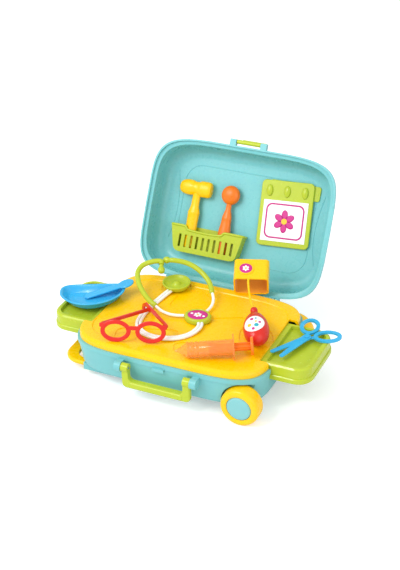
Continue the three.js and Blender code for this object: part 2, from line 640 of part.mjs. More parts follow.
const ball = new THREE.SphereGeometry(probe.radius, 20, 10).scale(1, 1, probe.flat)
  .translate(probe.x, probe.y, toolZ);
const probeNeck = probe.y + probe.neckIn;
place('probe_head', cut(ball, neckSocket(probe, probeNeck)), finish.orange, shut);
place('probe_handle', handleAlongY([[0, probeNeck], [probe.neck, probeNeck],
  [probe.neck, probeNeck + probe.neckLong], [probe.mid, probeNeck + probe.neckLong + probe.midLong],
  [probe.grip, probeNeck + probe.gripFrom], [probe.grip, toolFoot - probe.footRound],
  [probe.grip * 0.8, toolFoot], [0, toolFoot]], probe.x, probe.gripFlat), finish.orange, shut);

// Clipboard hung on a bracket

const board = {
  x: lengthShare(0.432), y: depthShare(-0.173), width: lengthShare(0.562), height: depthShare(0.932),
  corner: 9, thick: 3.2, edge: 1, bracket: 2.5, bracketHeight: 28, bracketInset: 12, bracketProud: 8,
  bracketUp: 47,
  card: 0.6, cardSide: 8, cardTop: 37.5, cardFoot: 9.5, pegs: 3, pegPitch: 35, pegUp: 42, pegRadius: 6.5,
  pegLong: 11, pegHigh: 4, tilt: -4,
};
const bracketTop = ceiling - seatGap;
const plateTop = bracketTop - board.bracket - seatGap;
const bracketShape = roundedBox(board.bracketInset - board.width / 2, board.width / 2 + board.bracketProud,
  -board.bracketHeight / 2, board.bracketHeight / 2, board.corner / 2);
place('clipboard_bracket', slab(bracketShape, board.bracket)
  .translate(board.x, board.y - board.bracketUp, bracketTop - board.bracket), finish.lime, shut);

function clipboardPlate() {
  const plate = slab(roundedBox(-board.width / 2, board.width / 2, -board.height / 2, board.height / 2,
    board.corner), board.thick, board.edge).translate(0, 0, plateTop - board.thick);
  const pegs = Array.from({ length: board.pegs }, (_, i) => new THREE.SphereGeometry(1, 10, 6)
    .scale(board.pegRadius, board.pegLong, board.pegHigh)
    .translate((i - (board.pegs - 1) / 2) * board.pegPitch, -board.pegUp, plateTop - board.pegHigh));
  return join(plate, ...pegs);
}
const boardGroup = new THREE.Group();
boardGroup.position.set(board.x, board.y, 0);
boardGroup.rotation.z = radians(board.tilt);
shut.add(boardGroup);
place('clipboard_plate', clipboardPlate(), finish.lime, boardGroup);
place('clipboard_card', block(board.cardSide - board.width / 2, board.width / 2 - board.cardSide,
  board.cardTop - board.height / 2, board.height / 2 - board.cardFoot, -board.card, 0)
  .translate(0, 0, plateTop - board.thick - seatGap), finish.card, boardGroup);

// Stethoscope: round junction, twin tube to the chestpiece, sprung headset

const junction = { x: 10, y: 10, radius: 25, height: 10.5, edge: 2 };
place('stethoscope_junction', slab(ellipse(junction.x, junction.y, junction.radius, junction.radius * 0.86),
  junction.height, junction.edge, 14).translate(0, 0, trayFloor + seatGap), finish.lime, layout);

const chestFloor = trayFloor - tray.pocketDepth + seatGap;
const chestpiece = {
  wall: 2.4, diaphragm: 1.2, neck: 17, neckHigh: 8.4, brim: 11.6, knob: 5.4, knobHigh: 2.4, dish: 3.4,
};
function chestpieceSolid() {
  const { rim, foot, height } = rest.chest;
  const { wall, diaphragm, neck, neckHigh, brim, knob, knobHigh, dish } = chestpiece;
  const seat = foot - wall + seatGap;
  return turned([[0, diaphragm + seatGap], [seat, diaphragm + seatGap], [seat, 0], [foot, 0], [foot, wall],
    [neck, neckHigh], [rim - wall / 3, brim], [rim, brim + wall / 3], [rim, height - wall / 3],
    [rim - wall / 2, height], [rim - wall * 1.5, height - wall / 3], [rim * 0.6, height - dish],
    [knob * 1.6, height - dish], [knob, height - dish + knobHigh], [0, height - dish + knobHigh * 1.5]], 28);
}
place('chestpiece', chestpieceSolid().translate(rest.chest.x, rest.chest.y, chestFloor), finish.lime, layout);
place('chestpiece_diaphragm', bar('z', rest.chest.foot - chestpiece.wall, chestFloor,
  chestFloor + chestpiece.diaphragm, rest.chest.x, rest.chest.y, 32), finish.white, layout);

const hose = { radius: 2.75, apart: 6.2, sides: 8, steps: 26 };
const hoseRoute = [[23.1, -8.8, 17.5], [25.4, -14, 17.4], [26.4, -25, 16.8], [21, -42, 14.8], [8, -60, 14.6],
  [-14, -72, 14.6], [-40, -76, 14.6], [-64, -68, 14.6], [-80, -48, 14.6], [-86, -22, 14.6],
  [-86, 8, 14.6], [-83, 36, 14.8], [-79, 60, 16], [-75.8, 77.4, 16.6]];
function besideRoute(offset) {
  return hoseRoute.map(([x, y, z], i) => {
    const before = hoseRoute[Math.max(i - 1, 0)];
    const after = hoseRoute[Math.min(i + 1, hoseRoute.length - 1)];
    const along = new THREE.Vector2(after[0] - before[0], after[1] - before[1]).normalize();
    return [x - along.y * offset, y + along.x * offset, z];
  });
}
for (const [name, side] of [['chest_tube_inner', 1], ['chest_tube_outer', -1]]) {
  const route = besideRoute((side * hose.apart) / 2);
  place(name, tube(route, hose.radius, hose.sides, hose.steps), finish.white, layout);
}

const headTubeRoutes = {
  left: [[-70.9, 5, 23.1], [-67, 3.2, 22.2], [-56, -1.5, 20], [-38, -3.5, 18.4], [-24, 0, 17.6],
    [-14.3, 3.6, 17.5]],
  right: [[7.9, 78.4, 27.2], [10.3, 75, 26.2], [15.5, 66, 23.4], [18.6, 54, 20], [18.6, 43, 18],
    [17, 31.2, 17.5]],
};
for (const [side, route] of Object.entries(headTubeRoutes)) {
  place(`headset_tube_${side}`, tube(route, hose.radius, hose.sides, 14), finish.white, layout);
}

const armRadius = 4.8;
const knuckleRadius = 4.1;
const armRoutes = {
  left: [[-75, 7, 24.2], [-84, 10.6, 26], [-98, 19, 30], [-114, 32, 35.5], [-128, 48, 42], [-136, 64, 49],
    [-134, 80, 54.5], [-124, 91, 57.5], [-112, 97.5, 59.3], [-104.5, 99, 58.8], [-102.6, 94.8, 55.6]],
  right: [[5.2, 82, 28.2], [1, 89, 31], [-7, 98, 36.5], [-20, 106, 44], [-36, 110.5, 52], [-54, 111.5, 58.5],
    [-68.5, 108.5, 62], [-77.8, 105.3, 63.6], [-84, 103.6, 63.9], [-87.5, 104.8, 62.6]],
};
for (const [side, route] of Object.entries(armRoutes)) {
  const knuckle = new THREE.SphereGeometry(knuckleRadius, 8, 6).translate(...route[0]);
  place(`headset_arm_${side}`, join(tube(route, armRadius, 8, 20), knuckle), finish.lime, layout);
}
const earTip = { radius: 6.5, length: 18, stem: 3.6 };
function earTipSolid() {
  const { radius, length, stem } = earTip;
  return turned([[0, 0], [stem, 0], [stem, length * 0.3], [radius, length * 0.5],
    [radius * 0.85, length * 0.85], [0, length]], 16);
}
for (const [side, route] of Object.entries(armRoutes)) {
  const tip = place(`ear_tip_${side}`, earTipSolid(), finish.lime, layout);
  const end = new THREE.Vector3(...route.at(-1));
  const along = end.clone().sub(new THREE.Vector3(...route.at(-2))).normalize();
  tip.position.copy(end).addScaledVector(along, seatGap);
  tip.quaternion.setFromUnitVectors(AXES.z, along);
}

// Blood pressure set: arm cuff, tube, squeeze bulb and its valve knob

const cuff = {
  x: 66, y: 124.4, z: 13.3, heading: 19.7, rise: 24.8, width: 64, height: 50, length: 43.4, wall: 2.6,
  corner: 8,
};
function armCuff() {
  const half = cuff.width / 2;
  const outer = slab(roundedBox(-half, half, 0, cuff.height, cuff.corner), cuff.length, 0, 4);
  const inner = slab(roundedBox(-half + cuff.wall, half - cuff.wall, cuff.wall, cuff.height - cuff.wall,
    cuff.corner - cuff.wall), cuff.length + 2 * cutOver, 0, 4).translate(0, 0, -cutOver);
  return cut(outer, inner).translate(0, 0, -cuff.length);
}
const cuffMesh = place('arm_cuff', armCuff(), finish.yellow, layout);
cuffMesh.position.set(cuff.x, cuff.y, cuff.z);
cuffMesh.rotation.set(Math.PI / 2 + radians(cuff.rise), 0, radians(cuff.heading), 'ZYX');

const bulbAxisZ = trayFloor - tray.pocketDepth + rest.bulb.radius * rest.bulb.flat + 2 * seatGap;
const bulbProfileShares = [[0, -1], [0.42, -0.93], [0.78, -0.72], [0.97, -0.35], [1, -0.05], [0.92, 0.3],
  [0.72, 0.62], [0.45, 0.86], [0.3, 0.98], [0, 1]];
const bulbGroup = new THREE.Group();
bulbGroup.position.set(rest.bulb.x, rest.bulb.y, bulbAxisZ + bulb.lift);
bulbGroup.rotation.set(0, 0, radians(bulb.heading));
const bulbTilt = new THREE.Group();
bulbTilt.rotation.y = -radians(bulb.tilt);
bulbGroup.add(bulbTilt);
layout.add(bulbGroup);
const bulbProfile = bulbProfileShares.map(([r, h]) => [r * rest.bulb.radius, h * rest.bulb.length]);
place('squeeze_bulb', turned(bulbProfile, 24).rotateY(Math.PI / 2).scale(1, 1, rest.bulb.flat), finish.red,
  bulbTilt);
const knobAt = rest.bulb.length + seatGap;
place('bulb_valve_knob', turned([[0, 0], [bulb.neck * 0.7, 0], [bulb.neck * 0.6, bulb.knobLong * 0.2],
  [bulb.knob, bulb.knobLong * 0.4], [bulb.knob, bulb.knobLong * 0.8], [bulb.neck * 0.6, bulb.knobLong],
  [0, bulb.knobLong]], 20).rotateY(Math.PI / 2).translate(knobAt, 0, 0), finish.red, bulbTilt);

const cuffTubeRadius = 2;
const cuffTubeRoute = [[69.5, 102.3, 59], [71, 97.5, 56.8], [75.5, 88.5, 50.4], [82, 77, 43.6],
  [89, 65.5, 39], [95.5, 55.5, 37.6], [100.6, 48.7, 38], [103.9, 44.2, 38.5], [105.26, 41.55, 38.73]];
place('cuff_tube', tube(cuffTubeRoute, cuffTubeRadius, 8, 24), finish.yellow, layout);

// Syringe

const syringe = {
  tip: [26, -118, 26.35], heading: 25, slope: 2.92, barrel: 14.2, bore: 12.4, cone: 20, nozzle: 1.8,
  length: 102, flangeLong: 24, flangeShort: 15, flangeThick: 3, flangeTurn: 45, ring: 1, ringPitch: 8,
  ringStart: 3, rings: 3, rod: 4.2, webHalf: 1, webReach: 8, seal: 11.8, sealThick: 8, disc: 16,
  discThick: 5, out: 30, sealAt: 58,
};
const syringeGroup = new THREE.Group();
syringeGroup.position.set(...syringe.tip);
syringeGroup.rotation.set(0, 0, radians(syringe.heading));
const syringeSlope = new THREE.Group();
syringeSlope.rotation.y = Math.PI / 2 - radians(syringe.slope);
syringeGroup.add(syringeSlope);
layout.add(syringeGroup);
function syringeBarrel() {
  const s = syringe;
  const ribs = [];
  for (let i = 0; i < s.rings; i += 1) {
    const z = s.cone + s.ringStart + i * s.ringPitch;
    const waist = s.barrel - s.ring;
    ribs.push([s.barrel, z], [waist, z + s.ringPitch * 0.3], [waist, z + s.ringPitch * 0.5],
      [s.barrel, z + s.ringPitch * 0.8]);
  }
  const outside = turned([[0, 0], [s.nozzle, 0], [s.nozzle * 2.2, s.cone * 0.3],
    [s.barrel * 0.8, s.cone * 0.85], [s.barrel, s.cone], ...ribs, [s.barrel, s.length], [0, s.length]], 20);
  const mouth = s.length + cutOver;
  const inside = turned([[0, s.cone], [s.bore, s.cone], [s.bore, mouth], [0, mouth]], 20);
  const wings = slab(ellipse(0, 0, s.flangeLong, s.flangeShort), s.flangeThick, 0, 8)
    .rotateZ(radians(-s.flangeTurn)).translate(0, 0, s.length - s.flangeThick);
  return cut(join(outside, wings), inside);
}
place('syringe_barrel', syringeBarrel(), finish.clear, syringeSlope);
function plungerRod() {
  const s = syringe;
  const end = s.length + s.out;
  const cross = [0, 1].map((turn) => block(-s.webReach, s.webReach, -s.webHalf, s.webHalf,
    s.sealAt + s.sealThick + seatGap, end).rotateZ((turn * Math.PI) / 2));
  const core = bar('z', s.rod, s.sealAt + s.sealThick + seatGap, end, 0, 0, 16);
  return join(...cross, core, bar('z', s.disc, end - s.discThick / 2, end + s.discThick / 2, 0, 0, 28));
}
place('syringe_plunger', plungerRod(), finish.orange, syringeSlope);
place('plunger_seal', bar('z', syringe.seal, syringe.sealAt, syringe.sealAt + syringe.sealThick, 0, 0, 24),
  finish.orange, syringeSlope);

// Scissors on the right drawer, with x measured from the drawer's outer end

const scissors = {
  layer: 1.75, pivot: [-40, 31], blade: 7.5, tipWidth: 4, ringOut: [25, 18], ringIn: [18, 11.3], arm: 3.6,
  tipA: [-82, -34], ringA: [-7, 47], tipB: [-60, -44], ringB: [-47, 66], rivet: 2.4, head: 4.6, headHigh: 0.9,
};
function scissorHalf(tip, ringAt, lower) {
  const s = scissors;
  const z = drawer.top + seatGap + (lower ? 0 : s.layer + seatGap);
  const from = new THREE.Vector2(...s.pivot);
  const along = new THREE.Vector2(...tip).sub(from);
  const length = along.length();
  const blade = new THREE.Shape();
  blade.moveTo(0, -s.blade);
  blade.lineTo(length - s.tipWidth, -s.tipWidth);
  blade.absarc(length - s.tipWidth, 0, s.tipWidth, -Math.PI / 2, Math.PI / 2);
  blade.lineTo(0, s.blade);
  blade.absarc(0, 0, s.blade, Math.PI / 2, 1.5 * Math.PI);
  const bladeSolid = slab(blade, s.layer, 0, 6).rotateZ(Math.atan2(along.y, along.x))
    .translate(from.x, from.y, z);
  const back = new THREE.Vector2(...ringAt).sub(from);
  const turn = Math.atan2(back.y, back.x);
  const armLength = back.length() - s.ringIn[0] - s.arm / 3;
  const arm = slab(roundedBox(0, armLength, -s.arm, s.arm, s.arm / 2), s.layer)
    .rotateZ(turn).translate(from.x, from.y, z);
  const full = 2 * s.layer + seatGap;
  const ring = cut(slab(ellipse(0, 0, ...s.ringOut), full, 0, 10),
    slab(ellipse(0, 0, ...s.ringIn), full + 2 * cutOver, 0, 10).translate(0, 0, -cutOver));
  const loop = ring.rotateZ(turn).translate(...ringAt, drawer.top + seatGap);
  const hole = bar('z', s.rivet + seatGap / 2, z - cutOver, z + s.layer + cutOver, from.x, from.y, 16);
  return cut(join(bladeSolid, arm, loop), hole);
}
const scissorGroup = new THREE.Group();
scissorGroup.position.x = drawerOut;
doctorCase.add(scissorGroup);
place('scissor_lower', scissorHalf(scissors.tipA, scissors.ringA, true), finish.blue, scissorGroup);
place('scissor_upper', scissorHalf(scissors.tipB, scissors.ringB, false), finish.blue, scissorGroup);
const rivetTop = drawer.top + 3 * seatGap + 2 * scissors.layer;
place('scissor_rivet', join(
  bar('z', scissors.rivet, drawer.top + seatGap, rivetTop + scissors.headHigh / 2, ...scissors.pivot, 16),
  bar('z', scissors.head, rivetTop, rivetTop + scissors.headHigh, ...scissors.pivot, 20),
), finish.blue, scissorGroup);

// Toy glasses, standing on the tray with both temples swung half in, the right ear hook over the left temple

const glasses = {
  x: -62, y: -105, heading: 17.5, lean: 22, halfWidth: 60, thick: 3.8, edge: 0.8, lensX: 31, lensOutX: 27,
  lensOutY: 19.5, lensInX: 19.2, lensInY: 12, bridge: 7.5, hingeUp: 29, lugHigh: 8, templeHigh: 6,
  templeThick: 3.8,
};
const temples = [
  { name: 'temple_left', side: -1, long: 98, inward: 44, drop: 7, back: 7.4, hook: [[11, 25], [8, 45]] },
  { name: 'temple_right', side: 1, long: 88, inward: 33, drop: 1.8, back: 5.1, hook: [[12, 35], [9, 65]] },
];
const glassesGroup = new THREE.Group();
glassesGroup.position.set(glasses.x, glasses.y, tray.top - seatGap / 2);
glassesGroup.rotation.z = radians(glasses.heading);
layout.add(glassesGroup);
function glassesFront() {
  const g = glasses;
  const rims = [-1, 1].map((side) => slab(
    ellipse(side * g.lensX, g.lensOutY, g.lensOutX, g.lensOutY), g.thick, g.edge, 9));
  const lenses = [-1, 1].map((side) => slab(
    ellipse(side * g.lensX, g.lensOutY, g.lensInX, g.lensInY), g.thick * 3, 0, 9).translate(0, 0, -g.thick));
  const bridge = slab(
    roundedBox(-g.lensX, g.lensX, g.hingeUp - g.bridge, g.hingeUp, g.bridge / 3), g.thick, g.edge);
  const lugs = [-1, 1].map((side) => slab(roundedBox(Math.min(side * g.lensX * 1.5, side * g.halfWidth),
    Math.max(side * g.lensX * 1.5, side * g.halfWidth), g.hingeUp - g.lugHigh / 2, g.hingeUp + g.lugHigh / 2,
    g.lugHigh / 4), g.thick, g.edge));
  return cut(join(...rims, bridge, ...lugs), ...lenses).rotateX(Math.PI / 2 - radians(g.lean))
    .translate(0, g.thick / 2, 0);
}
place('glasses_front', glassesFront(), finish.red, glassesGroup);

// A straight temple along X, then the ear hook's short lengths, each [length, angle down].
function temple({ long, hook }) {
  const half = glasses.templeHigh / 2;
  const pieces = [];
  let [x, z] = [0, 0];
  for (const [length, down] of [[long, 0], ...hook]) {
    const turn = -radians(down);
    pieces.push(slab(roundedBox(-half, length + half, -half, half, half * 0.9), glasses.templeThick, 0, 4)
      .rotateZ(turn).translate(x, z, 0));
    x += length * Math.cos(turn);
    z += length * Math.sin(turn);
  }
  return join(...pieces).rotateX(Math.PI / 2);
}
const hingeLift = glasses.hingeUp * Math.cos(radians(glasses.lean));
const leanBack = glasses.hingeUp * Math.sin(radians(glasses.lean));
for (const { name, side, inward, drop, back, ...shape } of temples) {
  const arm = temple(shape).rotateY(radians(drop)).rotateZ(Math.PI / 2);
  const mesh = place(name, arm, finish.red, glassesGroup);
  mesh.position.set(side * (glasses.halfWidth - glasses.templeThick), leanBack + back, hingeLift);
  mesh.rotation.z = side * radians(inward);
}

// Kidney dish and tongue spatula, on the tray's edge, with x measured from the case's left end

const dish = {
  x: -14, y: 0, heading: 20, halfLength: 61, halfWidth: 38, bend: 17, high: 16, foot: 15, rim: 3.5, wall: 2,
  around: 40, tilt: 3.4, rest: 11.05, endRound: 0.8,
};
function kidney(inset, z) {
  return Array.from({ length: dish.around }, (_, i) => {
    const turn = (2 * Math.PI * i) / dish.around;
    const x = Math.cos(turn);
    const y = Math.sign(Math.sin(turn)) * Math.abs(Math.sin(turn)) ** dish.endRound;
    return new THREE.Vector3((dish.halfLength - inset) * x,
      (dish.halfWidth - inset * 0.9) * y + dish.bend * (x * x - 0.5), z);
  });
}
const dishGroup = new THREE.Group();
dishGroup.position.set(dish.x - shell.halfLength, dish.y, dish.rest);
dishGroup.rotation.set(0, -radians(dish.tilt), radians(dish.heading), 'YZX');
layout.add(dishGroup);
place('kidney_dish', loft([
  kidney(dish.foot, 0), kidney(dish.foot * 0.75, dish.wall),
  kidney(dish.rim + dish.wall, dish.high - dish.wall * 1.5),
  kidney(0, dish.high - dish.wall), kidney(0, dish.high), kidney(dish.rim, dish.high),
  kidney(dish.rim + 2 * dish.wall, dish.high - dish.wall * 2),
  kidney(dish.foot + dish.wall * 0.4, dish.wall * 1.6),
]), finish.blue, dishGroup);

const spatula = {
  long: 84, halfWidth: 8.5, paddle: 13.5, thick: 3.5, edge: 0.8, x: -14, y: -1, z: 3.6, climb: 11,
  heading: 14,
};
function spatulaSolid() {
  const s = spatula;
  const stick = slab(roundedBox(0, s.long, -s.halfWidth, s.halfWidth, s.halfWidth * 0.9), s.thick, s.edge, 5);
  const paddle = slab(ellipse(s.long - s.paddle / 3, 0, s.paddle * 1.15, s.paddle), s.thick, s.edge, 8);
  return join(stick, paddle);
}
const spatulaMesh = place('spatula', spatulaSolid(), finish.blue, dishGroup);
spatulaMesh.position.set(spatula.x, spatula.y, spatula.z);
spatulaMesh.rotation.set(0, -radians(spatula.climb), radians(spatula.heading), 'ZYX');

// Stand it on the floor, with the middle of its own box over the origin

doctorCase.updateMatrixWorld(true);
const bounds = new THREE.Box3().setFromObject(doctorCase, true);
doctorCase.position.set(-(bounds.min.x + bounds.max.x) / 2, -(bounds.min.y + bounds.max.y) / 2, -floorZ);
doctorCase.updateMatrixWorld(true);

export default doctorCase;
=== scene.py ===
import json
from math import cos, pi, radians, sin, sqrt

import bmesh
import bpy
from mathutils import Matrix, Vector
from mathutils.bvhtree import BVHTree


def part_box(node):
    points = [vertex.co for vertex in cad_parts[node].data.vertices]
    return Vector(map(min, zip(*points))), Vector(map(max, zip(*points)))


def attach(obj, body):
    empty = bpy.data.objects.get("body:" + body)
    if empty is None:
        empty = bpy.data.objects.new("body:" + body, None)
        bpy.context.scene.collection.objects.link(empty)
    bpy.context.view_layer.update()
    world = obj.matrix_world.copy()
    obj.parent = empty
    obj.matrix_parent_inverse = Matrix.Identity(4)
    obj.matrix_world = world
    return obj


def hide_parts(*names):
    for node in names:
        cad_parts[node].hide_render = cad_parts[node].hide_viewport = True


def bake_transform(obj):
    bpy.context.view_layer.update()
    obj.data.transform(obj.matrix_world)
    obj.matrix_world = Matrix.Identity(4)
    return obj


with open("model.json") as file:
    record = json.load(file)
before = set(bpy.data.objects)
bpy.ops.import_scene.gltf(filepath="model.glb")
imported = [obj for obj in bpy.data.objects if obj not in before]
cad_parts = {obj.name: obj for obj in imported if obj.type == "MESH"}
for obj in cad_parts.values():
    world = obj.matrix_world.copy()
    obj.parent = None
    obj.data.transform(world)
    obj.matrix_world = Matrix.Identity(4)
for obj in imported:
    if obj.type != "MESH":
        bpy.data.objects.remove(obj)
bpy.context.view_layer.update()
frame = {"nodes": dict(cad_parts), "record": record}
mm = 0.001
print("frame loaded")

# The case's own frame: millimetres from the middle of the base's rim, with the lid as if it were shut
caseFrame = {"axle": (152, 0, -47), "hinge": (0, 134.5, 4.3), "lidOpen": 118.3, "ceiling": 62.1}
axleLow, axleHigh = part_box("wheel_axle")
caseOrigin = (axleLow + axleHigh) / 2 - Vector(caseFrame["axle"]) * mm
toCase = Matrix.Translation(caseOrigin) @ Matrix.Diagonal((mm, mm, mm, 1))
hingePoint = Vector(caseFrame["hinge"])
lidTurn = (Matrix.Translation(hingePoint) @ Matrix.Rotation(-radians(caseFrame["lidOpen"]), 4, "X")
           @ Matrix.Translation(-hingePoint))
toLid = toCase @ lidTurn  # places a piece that is drawn on the shut lid

bodyOf = {}
for bodyName, members in frame["record"]["behaviour"]["bodies"].items():
    for member in members:
        bodyOf[member] = bodyName


def turn(axis, degrees):
    return Matrix.Rotation(radians(degrees), 4, axis)


def move(x, y, z):
    return Matrix.Translation((x, y, z))


def stretch(x, y, z):
    return Matrix.Diagonal((x, y, z, 1))


def facing(direction):
    # turns +Z to the given direction
    return Vector((0, 0, 1)).rotation_difference(direction).to_matrix().to_4x4()


# Materials

def linear(hexColour):
    channels = [int(hexColour[i:i + 2], 16) / 255 for i in (1, 3, 5)]
    return [c / 12.92 if c <= 0.04045 else ((c + 0.055) / 1.055) ** 2.4 for c in channels] + [1]


def addNode(tree, kind, settings=None, inputs=None, links=None):
    node = tree.nodes.new(kind)
    for name, value in (settings or {}).items():
        setattr(node, name, value)
    for name, value in (inputs or {}).items():
        node.inputs[name].default_value = value
    for name, socket in (links or {}).items():
        tree.links.new(socket, node.inputs[name])
    return node


def startMaterial(name):
    material = bpy.data.materials.new(name)
    material.use_nodes = True
    material.node_tree.nodes.clear()
    return material, material.node_tree


def finishMaterial(tree, shader):
    output = addNode(tree, "ShaderNodeOutputMaterial")
    tree.links.new(shader.outputs[0], output.inputs["Surface"])


def noiseOf(tree, place, size, detail=2.0):
    # a pattern whose marks are `size` millimetres across
    return addNode(tree, "ShaderNodeTexNoise", inputs={"Scale": 1 / (size * mm), "Detail": detail},
                   links={"Vector": place.outputs["Object"]})


def shadedBy(tree, pattern, colour, deepColour):
    # mixture of two colours, RGBA sockets 6 and 7
    return addNode(tree, "ShaderNodeMix", {"data_type": "RGBA"}, {6: linear(colour), 7: linear(deepColour)},
                   {0: pattern.outputs["Fac"]})


def spread(tree, pattern, low, high):
    # noise stays near its middle, so 0.3 to 0.7 of it is drawn out to the whole of low to high
    return addNode(tree, "ShaderNodeMapRange",
                   inputs={"From Min": 0.3, "From Max": 0.7, "To Min": low, "To Max": high},
                   links={"Value": pattern.outputs["Fac"]})


def mouldedPlastic(name, colour, deepColour, roughness, grain=1.2, depth=0.008, glow=0.05):
    # polypropylene from a steel mould: faint flow marks in the colour, and a gloss that is broken by handling
    material, tree = startMaterial(name)
    place = addNode(tree, "ShaderNodeTexCoord")
    flow = noiseOf(tree, place, size=34)
    smudges = noiseOf(tree, place, size=9, detail=3.0)
    pebbles = noiseOf(tree, place, grain)  # the real grain is about 0.3 mm, drawn coarser so that it shows
    tint = shadedBy(tree, flow, colour, deepColour)
    gloss = spread(tree, smudges, roughness - 0.05, roughness + 0.08)
    bump = addNode(tree, "ShaderNodeBump", inputs={"Strength": 0.08, "Distance": depth * mm},
                   links={"Height": pebbles.outputs["Fac"]})
    shader = addNode(tree, "ShaderNodeBsdfPrincipled",
                     inputs={"IOR": 1.49, "Specular IOR Level": 0.4, "Subsurface Weight": glow,
                             "Subsurface Scale": 0.004},
                     links={"Base Color": tint.outputs[2], "Roughness": gloss.outputs[0],
                            "Normal": bump.outputs["Normal"]})
    finishMaterial(tree, shader)
    return material


def clearPlastic(name, colour, deepColour, roughness, cover):
    # tinted polystyrene: light passes through the thin wall, and one wall behind another looks deeper
    material, tree = startMaterial(name)
    place = addNode(tree, "ShaderNodeTexCoord")
    flow = noiseOf(tree, place, size=22)
    smudges = noiseOf(tree, place, size=7, detail=3.0)
    tint = shadedBy(tree, flow, colour, deepColour)
    gloss = spread(tree, smudges, roughness - 0.04, roughness + 0.08)
    body = addNode(tree, "ShaderNodeBsdfPrincipled",
                   inputs={"IOR": 1.59, "Alpha": cover, "Subsurface Weight": 0.15, "Subsurface Scale": 0.006},
                   links={"Base Color": tint.outputs[2], "Roughness": gloss.outputs[0]})
    finishMaterial(tree, body)
    return material


def paintedShadeNap(name, colour, deepColour, thread):
    # painted shade inside the cuff: a darker orange for the yellow wall in shadow, with a short speckled nap,
    # quite dull
    material, tree = startMaterial(name)
    place = addNode(tree, "ShaderNodeTexCoord")
    nap = noiseOf(tree, place, thread, detail=4.0)
    tint = shadedBy(tree, nap, colour, deepColour)
    bump = addNode(tree, "ShaderNodeBump", inputs={"Strength": 0.6, "Distance": 0.25 * mm},
                   links={"Height": nap.outputs["Fac"]})
    shader = addNode(tree, "ShaderNodeBsdfPrincipled", inputs={"Roughness": 0.8, "Sheen Weight": 0.3},
                     links={"Base Color": tint.outputs[2], "Normal": bump.outputs["Normal"]})
    finishMaterial(tree, shader)
    return material


def drawnSteel(name, colour, deepColour, roughness):
    # bright wire, drawn through a die: fine lines and even gloss
    material, tree = startMaterial(name)
    place = addNode(tree, "ShaderNodeTexCoord")
    lines = noiseOf(tree, place, size=1.2, detail=3.0)
    tint = shadedBy(tree, lines, colour, deepColour)
    gloss = spread(tree, lines, roughness - 0.05, roughness + 0.08)
    shader = addNode(tree, "ShaderNodeBsdfPrincipled", inputs={"Metallic": 1.0},
                     links={"Base Color": tint.outputs[2], "Roughness": gloss.outputs[0]})
    finishMaterial(tree, shader)
    return material


def printedInk(name, colour, deepColour):
    # offset ink under a thin varnish on a paper sticker
    material, tree = startMaterial(name)
    place = addNode(tree, "ShaderNodeTexCoord")
    fibres = noiseOf(tree, place, size=1.5, detail=3.0)
    tint = shadedBy(tree, fibres, colour, deepColour)
    gloss = spread(tree, fibres, 0.3, 0.42)
    shader = addNode(tree, "ShaderNodeBsdfPrincipled", inputs={"IOR": 1.5},
                     links={"Base Color": tint.outputs[2], "Roughness": gloss.outputs[0]})
    finishMaterial(tree, shader)
    return material


finishes = {
    "turquoise": mouldedPlastic("turquoise polypropylene", "#79c0c2", "#71b9bc", 0.34),
    "lidTurquoise": mouldedPlastic("lid turquoise polypropylene", "#7ac5c8", "#70bec3", 0.28),
    "hubTurquoise": mouldedPlastic("pale turquoise polypropylene", "#86c6c8", "#7cbdc0", 0.42),
    "yellow": mouldedPlastic("yellow polypropylene", "#ffca00", "#ffc400", 0.26),
    "lime": mouldedPlastic("lime polypropylene", "#bccb34", "#b1c12a", 0.22),
    "blue": mouldedPlastic("sky blue polypropylene", "#3cb4e4", "#2fa6da", 0.22),
    "red": mouldedPlastic("red polypropylene", "#dc2e20", "#cf261b", 0.2),
    "orange": mouldedPlastic("orange polypropylene", "#f17d1c", "#e87216", 0.28),
    "clearOrange": clearPlastic("clear orange polystyrene", "#ffa853", "#ff9c42", 0.1, 0.4),
    "whiteHose": mouldedPlastic("white PVC hose", "#fbfaf3", "#f1f0e8", 0.3, 2.0, 0.01, 0.15),
    # painted shade: this orange stands in for the cuff's yellow inside in shadow, and its speckled nap is a rough
    # texture
    "shadeSleeve": paintedShadeNap("brushed nylon lining", "#f6a81c", "#e08a12", 1.6),
    "card": printedInk("coated card", "#ffffff", "#f8f8f8"),
    "magenta": printedInk("magenta printing ink", "#d2238b", "#c51d80"),
    "teal": printedInk("teal printing ink", "#33b5c2", "#2aaab8"),
    "gold": printedInk("yellow printing ink", "#f9c92c", "#f2bd22"),
    "steel": drawnSteel("drawn steel wire", "#b9bcc0", "#aeb1b6", 0.3),
}
print("materials made:", len(finishes))


# Mesh helpers

# Points nearer than this become one: in mm, and for a sticker's disc as a share of its radius
weld = {"cad": 0.02, "drawn": 0.001, "disc": 0.0001}


def linked(name, mesh, finish, body, place=None):
    if place is not None:
        mesh.transform(place)
    if not mesh.materials:
        mesh.materials.append(None)
    mesh.materials[0] = finishes[finish]
    piece = bpy.data.objects.new(name, mesh)
    bpy.context.scene.collection.objects.link(piece)
    if body is not None:
        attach(piece, body)
    return piece


def shadeSmooth(mesh, sharpAngle):
    for polygon in mesh.polygons:
        polygon.use_smooth = True
    mesh.set_sharp_from_angle(angle=radians(sharpAngle))


def roundEdges(piece, width, angle):
    bevel = piece.modifiers.new("edge", "BEVEL")
    bevel.width = width * mm
    bevel.segments = 2
    bevel.limit_method = "ANGLE"
    bevel.angle_limit = radians(angle)
    bevel.harden_normals = False
    bevel.miter_outer = "MITER_ARC"
    weighted = piece.modifiers.new("shading", "WEIGHTED_NORMAL")
    weighted.keep_sharp = True


